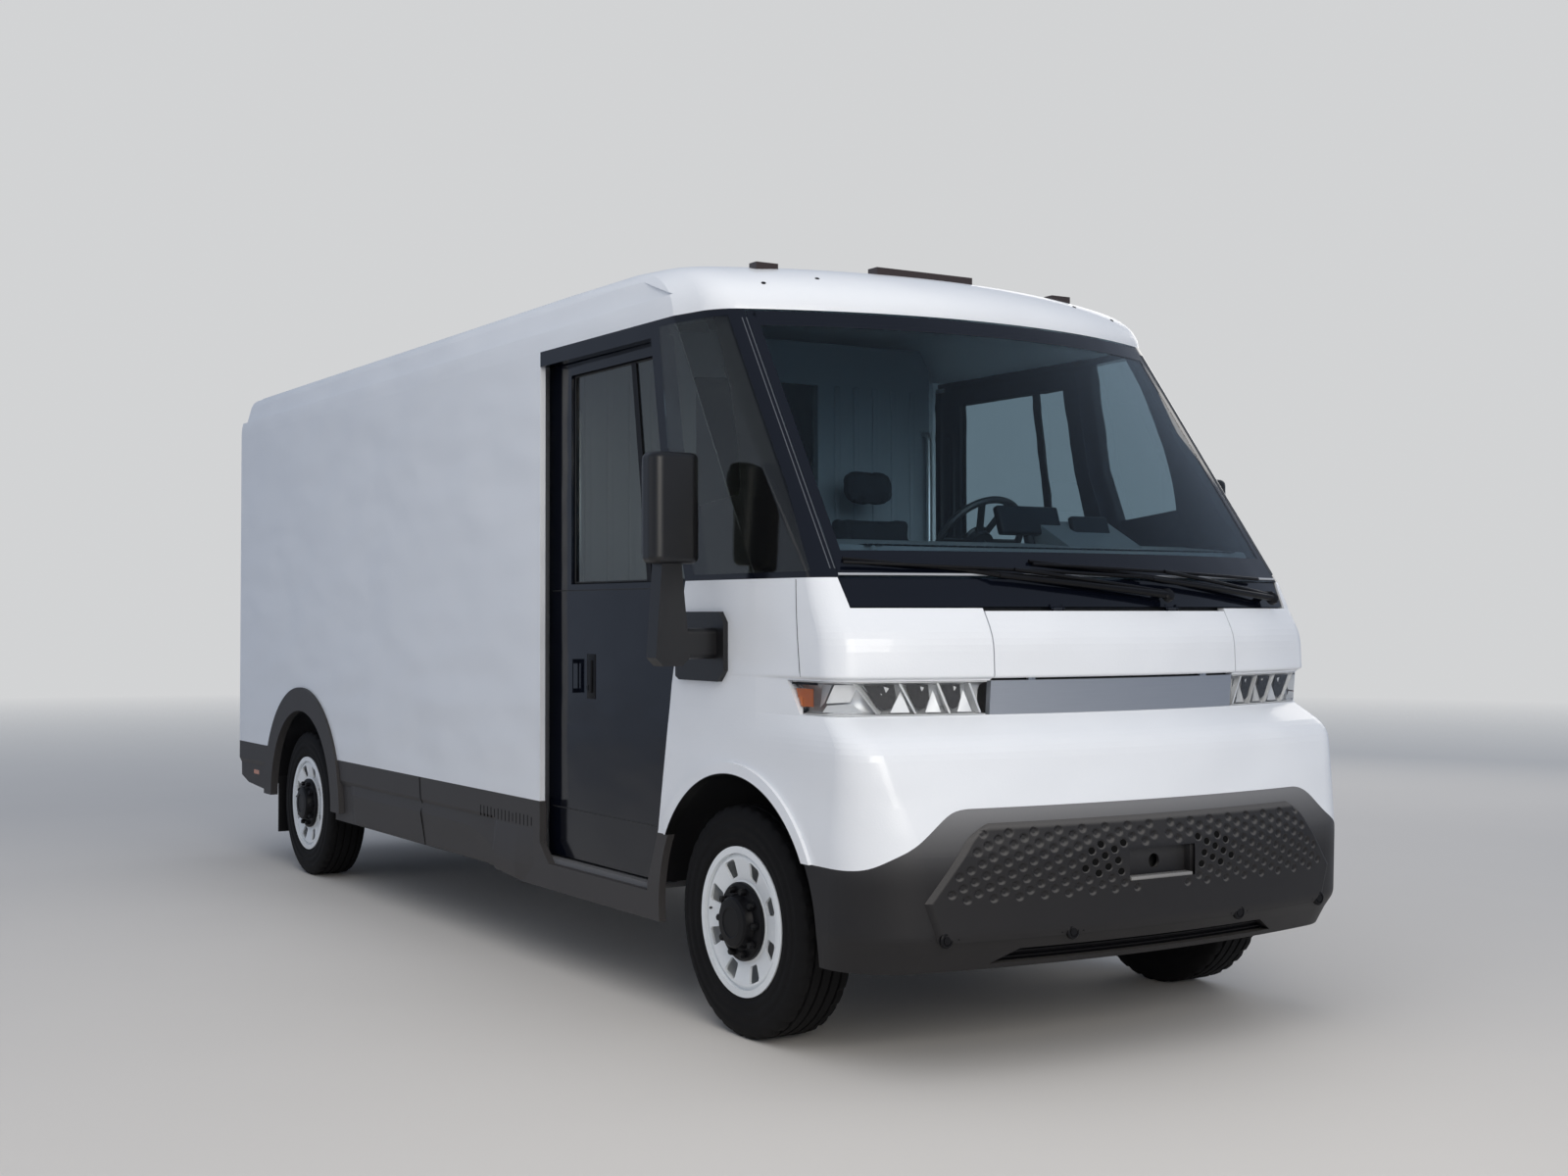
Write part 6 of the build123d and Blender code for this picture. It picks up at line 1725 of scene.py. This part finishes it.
@dataclass
class Cabin:
    """Steering wheel detail, displays, vents, grab bars and bulkhead beads."""

    wheel: Point = (0.430, -1.939, 1.790)
    lean: float = radians(55.0)
    bulkhead: float = -0.899

    def build(self) -> list[str]:
        """Builds the cabin's pieces.

        Returns:
            The names of the pieces.
        """
        self.axis = Vector((0, sin(self.lean), cos(self.lean)))
        return [*self.wheel_pad(), *self.displays(), self.vents(), self.grab_bars(), self.beads(),
                self.pedals(), *DriverSeat().build()]

    def wheel_pad(self) -> list[str]:
        """Covers the steering wheel's hub, and mounts the stalks behind it."""
        centre = Vector(self.wheel)
        pad = Maker().lathe([(0.060, 0.010), (0.066, 0.018), (0.064, 0.026), (0.050, 0.031), (0.030, 0.0335),
                             (0.0, 0.034)],
                            centre, self.axis, 40)
        place_mesh("hand_wheel_pad", pad.done("hand wheel pad"), "hand_wheel", VINYL)
        stalks = Maker()
        root = centre - self.axis * 0.085
        for flip in (-1, 1):
            stalks.tube([root + Vector((flip * 0.030, 0, 0)), root + Vector((flip * 0.100, 0, 0.004)),
                         root + Vector((flip * 0.160, 0, 0.012))], [0.008, 0.006, 0.009], 12)
        place_mesh("column_stalks", stalks.done("column stalks"), "chassis", SATIN_BLACK)
        return ["hand_wheel_pad", "column_stalks"]

    def displays(self) -> list[str]:
        """Stands the instrument display and the centre display on the dash."""
        tilt = Matrix.Rotation(radians(-18), 3, "X")
        cases, faces = Maker(), Maker()
        for low, high in (((0.045, -2.535, 1.790), (0.350, -2.500, 1.905)),
                          ((0.372, -2.590, 1.745), (0.560, -2.560, 1.870))):
            cases.box(low, high, 0.010, tilt, 3)
            middle = (Vector(low) + Vector(high)) / 2
            half = (Vector(high) - Vector(low)) / 2
            face = middle + tilt @ Vector((0, half.y - 0.001, 0))
            size = Vector((half.x - 0.012, 0.0025, half.z - 0.012))
            faces.box(tuple(face - size), tuple(face + size), 0.002, tilt)
            foot = middle - Vector((0, 0, half.z))
            cases.tube([foot + Vector((0, 0, 0.01)), foot + Vector((0, -0.03, -0.09))], 0.020, 16)
        place_mesh("display_cases", cases.done("display cases"), "chassis", SATIN_BLACK)
        place_mesh("display_faces", faces.done("display faces"), "chassis", SCREEN)
        return ["display_cases", "display_faces"]

    def vents(self) -> str:
        """Sets the defroster slots on top of the dash."""
        skin = Skin("dashboard")
        maker = Maker()
        for n in range(44):
            x = -0.86 + 0.04 * n
            found = skin.hit((x, -2.900, 2.4), (0, 0, -1))
            if found:
                maker.box((x - 0.013, -2.935, found[0].z - 0.003), (x + 0.013, -2.865, found[0].z + 0.003),
                          0.0015)
        place_mesh("defroster_slots", maker.done("defroster slots"), "chassis", SATIN_BLACK)
        return "defroster_slots"

    def grab_bars(self) -> str:
        """Mounts the upright grab bars beside the doors."""
        maker = Maker()
        for flip in (-1, 1):
            x, y = flip * 0.945, self.bulkhead - 0.048
            maker.tube([(x, self.bulkhead, 1.300), (x, y + 0.010, 1.306), (x, y, 1.330), (x, y, 2.330),
                        (x, y + 0.010, 2.354), (x, self.bulkhead, 2.360)], 0.013, 16)
        place_mesh("grab_bars", maker.done("grab bars"), "chassis", ALUMINIUM)
        return "grab_bars"

    def beads(self) -> str:
        """Presses the upright beads in the bulkhead."""
        skin = Skin("cab_bulkhead")
        maker = Maker()
        for n in range(17):
            x = -0.88 + 0.11 * n
            spots = [skin.hit((x + dx, -1.4, z), (0, 1, 0)) for z in (1.0, 1.8, 2.5) for dx in (-0.02, 0.02)]
            if all(s and abs(s[0].y - self.bulkhead) < 0.004 for s in spots):
                maker.box((x - 0.016, self.bulkhead - 0.006, 0.860),
                          (x + 0.016, self.bulkhead + 0.002, 2.560), 0.005, segments=3)
        place_mesh("bulkhead_beads", maker.done("bulkhead beads"), "chassis", CABIN_GREY)
        return "bulkhead_beads"

    def pedals(self) -> str:
        """Hangs the two pedals in front of the seat."""
        maker = Maker()
        skin = Skin("dashboard")
        for x, half in ((0.36, 0.045), (0.50, 0.026)):
            found = skin.hit((x, -1.9, 0.95), (0, -1, 0))
            y = found[0].y if found else -2.50
            maker.box((x - half, y + 0.075, 0.860), (x + half, y + 0.088, 0.985), 0.004,
                      Matrix.Rotation(radians(24), 3, "X"))
            maker.tube([(x, y + 0.070, 0.930), (x, y + 0.040, 1.020), (x, y - 0.006, 1.090)], 0.008, 10)
        place_mesh("pedals", maker.done("pedals"), "chassis", SEAL)
        return "pedals"


# ---- underside ----------------------------------------------------------------------------------


@dataclass
class Underside:
    """Battery straps, cooling fins and bolts under the van."""

    pack: tuple[float, float, float, float] = (0.450, -1.749, 1.171, 0.300)
    drive: tuple[float, float, float, float] = (0.210, 1.742, 2.072, 0.282)

    def build(self) -> list[str]:
        """Builds the pieces under the van.

        Returns:
            The names of the pieces.
        """
        return [self.straps(), self.pack_bolts(), self.fins()]

    def straps(self) -> str:
        """Runs the pressed ribs across the battery's tray."""
        half, front, back, low = self.pack
        maker = Maker()
        for n in range(9):
            y = front + 0.16 + (back - front - 0.32) * n / 8
            maker.box((-half + 0.02, y - 0.035, low - 0.006), (half - 0.02, y + 0.035, low + 0.002), 0.004)
            for flip in (-1, 1):
                a, b = sorted((flip * (half - 0.003), flip * (half + 0.006)))
                maker.box((a, y - 0.020, low + 0.02), (b, y + 0.020, 0.470), 0.003)
        place_mesh("battery_ribs", maker.done("battery ribs"), "chassis", ALUMINIUM)
        return "battery_ribs"

    def pack_bolts(self) -> str:
        """Sets the bolts round the battery's tray."""
        half, front, back, low = self.pack
        maker = Maker()
        for n in range(18):
            y = front + 0.05 + (back - front - 0.10) * n / 17
            for flip in (-1, 1):
                maker.lathe([(0.010, 0.0), (0.010, 0.006), (0.0, 0.006)],
                            (flip * (half - 0.012), y, low + 0.0005), Vector((0, 0, -1)), 6)
        place_mesh("battery_bolts", maker.done("battery bolts"), "chassis", CASTING)
        return "battery_bolts"

    def fins(self) -> str:
        """Casts the fins on the drive unit."""
        half, front, back, low = self.drive
        maker = Maker()
        for n in range(12):
            x = -half + 0.02 + (2 * half - 0.04) * n / 11
            maker.box((x - 0.004, front + 0.02, low - 0.012), (x + 0.004, back - 0.02, low + 0.002), 0.002)
        place_mesh("drive_fins", maker.done("drive fins"), "chassis", CASTING)
        return "drive_fins"


# ---- stage --------------------------------------------------------------------------------------


@dataclass
class Studio:
    """Pale floor, soft lamps and the camera."""

    camera_place: Point = (-4.5158, -7.9308, 1.4929)
    yaw: float = 0.527
    pitch: float = 0.0278
    roll: float = 0.0006
    focal: float = 41.81
    shift: Pair = (0.0670, -0.0163)
    floor_half: float = 60.0
    fade: Pair = (6.5, 26.0)
    floor_colour: Colour = (0.68, 0.65, 0.61)
    sky: Colour = (0.86, 0.87, 0.88)
    shade: Colour = (0.68, 0.79, 1.0)
    lamp_colour: Colour = (1.0, 0.95, 0.87)
    light_strength: float = 0.44
    sky_strength: float = 0.75
    sensor_width: float = 36.0

    def build(self) -> None:
        """Builds the floor, the lamps, the sky and the camera."""
        self.floor()
        self.lamps()
        self.world()
        self.camera()
        log.info("studio built")

    def floor(self) -> None:
        """Lays a plain pale floor."""
        mesh = bpy.data.meshes.new("floor")
        half = self.floor_half
        mesh.from_pydata([(-half, -half, 0), (half, -half, 0), (half, half, 0), (-half, half, 0)], [],
                         [(0, 1, 2, 3)])
        piece = bpy.data.objects.new("floor", mesh)
        bpy.context.scene.collection.objects.link(piece)
        finish = Finish("pale floor", self.floor_colour, 0.75, Effect.PLAIN, 0.1, tone=0.03)
        material, wires, shader, _ = dresser.surface(finish)
        place = wires.node("ShaderNodeTexCoord").outputs["Object"]
        reach = wires.node("ShaderNodeVectorMath", operation="LENGTH")
        wires.join(place, reach.inputs[0])
        away = wires.math("DIVIDE", wires.math("SUBTRACT", reach.outputs["Value"], self.fade[0]),
                          self.fade[1] - self.fade[0], clamp=True)
        clear = wires.node("ShaderNodeBsdfTransparent")
        mix = wires.node("ShaderNodeMixShader")
        wires.join(away, mix.inputs[0])
        wires.join(shader.outputs[0], mix.inputs[1])
        wires.join(clear.outputs[0], mix.inputs[2])
        wires.join(mix.outputs[0], wires.tree.nodes["Material Output"].inputs["Surface"])
        dresser.put(piece, material)

    def lamps(self) -> None:
        """Hangs the soft lamps."""
        for name, place, aim, size, power in (
                ("overhead", (-2.0, -3.0, 8.0), (0.0, 0.0, 1.0), (9.0, 12.0), 330.0),
                ("front_fill", (-3.0, -11.5, 4.5), (0.0, -2.5, 1.2), (6.0, 4.0), 400.0),
                ("side_fill", (-11.0, 0.0, 4.0), (0.0, 0.5, 1.2), (9.0, 4.0), 50.0),
                ("far_fill", (10.0, 4.0, 5.0), (0.0, 0.5, 1.2), (8.0, 4.0), 150.0)):
            light = bpy.data.lights.new(name, "AREA")
            light.shape = "RECTANGLE"
            light.size, light.size_y = size
            light.energy = power
            light.color = self.lamp_colour
            lamp = bpy.data.objects.new(name, light)
            lamp.location = place
            lamp.rotation_euler = (Vector(aim) - Vector(place)).to_track_quat("-Z", "Y").to_euler()
            lamp.visible_transmission = False
            lamp.visible_glossy = name != "overhead"
            bpy.context.scene.collection.objects.link(lamp)

    def world(self) -> None:
        """Sets a pale even sky."""
        world = bpy.data.worlds.new("studio sky")
        world.use_nodes = True
        wires = Wiring(world.node_tree)
        lit = world.node_tree.nodes["Background"]
        lit.inputs["Color"].default_value = (*self.shade, 1.0)
        lit.inputs["Strength"].default_value = self.light_strength
        seen = wires.node("ShaderNodeBackground")
        seen.inputs["Color"].default_value = (*self.sky, 1.0)
        seen.inputs["Strength"].default_value = self.sky_strength
        path = wires.node("ShaderNodeLightPath")
        mix = wires.node("ShaderNodeMixShader")
        wires.join(path.outputs["Is Camera Ray"], mix.inputs[0])
        wires.join(lit.outputs[0], mix.inputs[1])
        wires.join(seen.outputs[0], mix.inputs[2])
        wires.join(mix.outputs[0], world.node_tree.nodes["World Output"].inputs["Surface"])
        bpy.context.scene.world = world

    def camera(self) -> None:
        """Stands the camera off the right front corner."""
        ahead = Vector((sin(self.yaw) * cos(self.pitch), cos(self.yaw) * cos(self.pitch),
                        sin(self.pitch)))
        right = ahead.cross(Vector((0, 0, 1))).normalized()
        up = right.cross(ahead)
        turn = Matrix.Rotation(self.roll, 3, ahead)
        right, up = turn @ right, turn @ up
        data = bpy.data.cameras.new("camera")
        data.sensor_width = self.sensor_width
        data.lens = self.focal
        data.shift_x, data.shift_y = self.shift
        data.clip_end = 300.0
        camera = bpy.data.objects.new("camera", data)
        pose = Matrix((right, up, -ahead)).transposed().to_4x4()
        pose.translation = self.camera_place
        camera.matrix_world = pose
        bpy.context.scene.collection.objects.link(camera)
        bpy.context.scene.camera = camera


def main() -> None:
    """Builds every sub-assembly in order and reports each piece."""
    logging.basicConfig(level=logging.INFO)
    bpy.context.scene.view_settings.view_transform = "Standard"
    Studio().build()
    for part in (CadFinishes(), Nose(), Screen(), Wheels(), SideDoors(), LoadBody(), Cabin(), Underside()):
        for name in part.build():
            log.info("built %s", name)


if __name__ == "__main__":
    main()
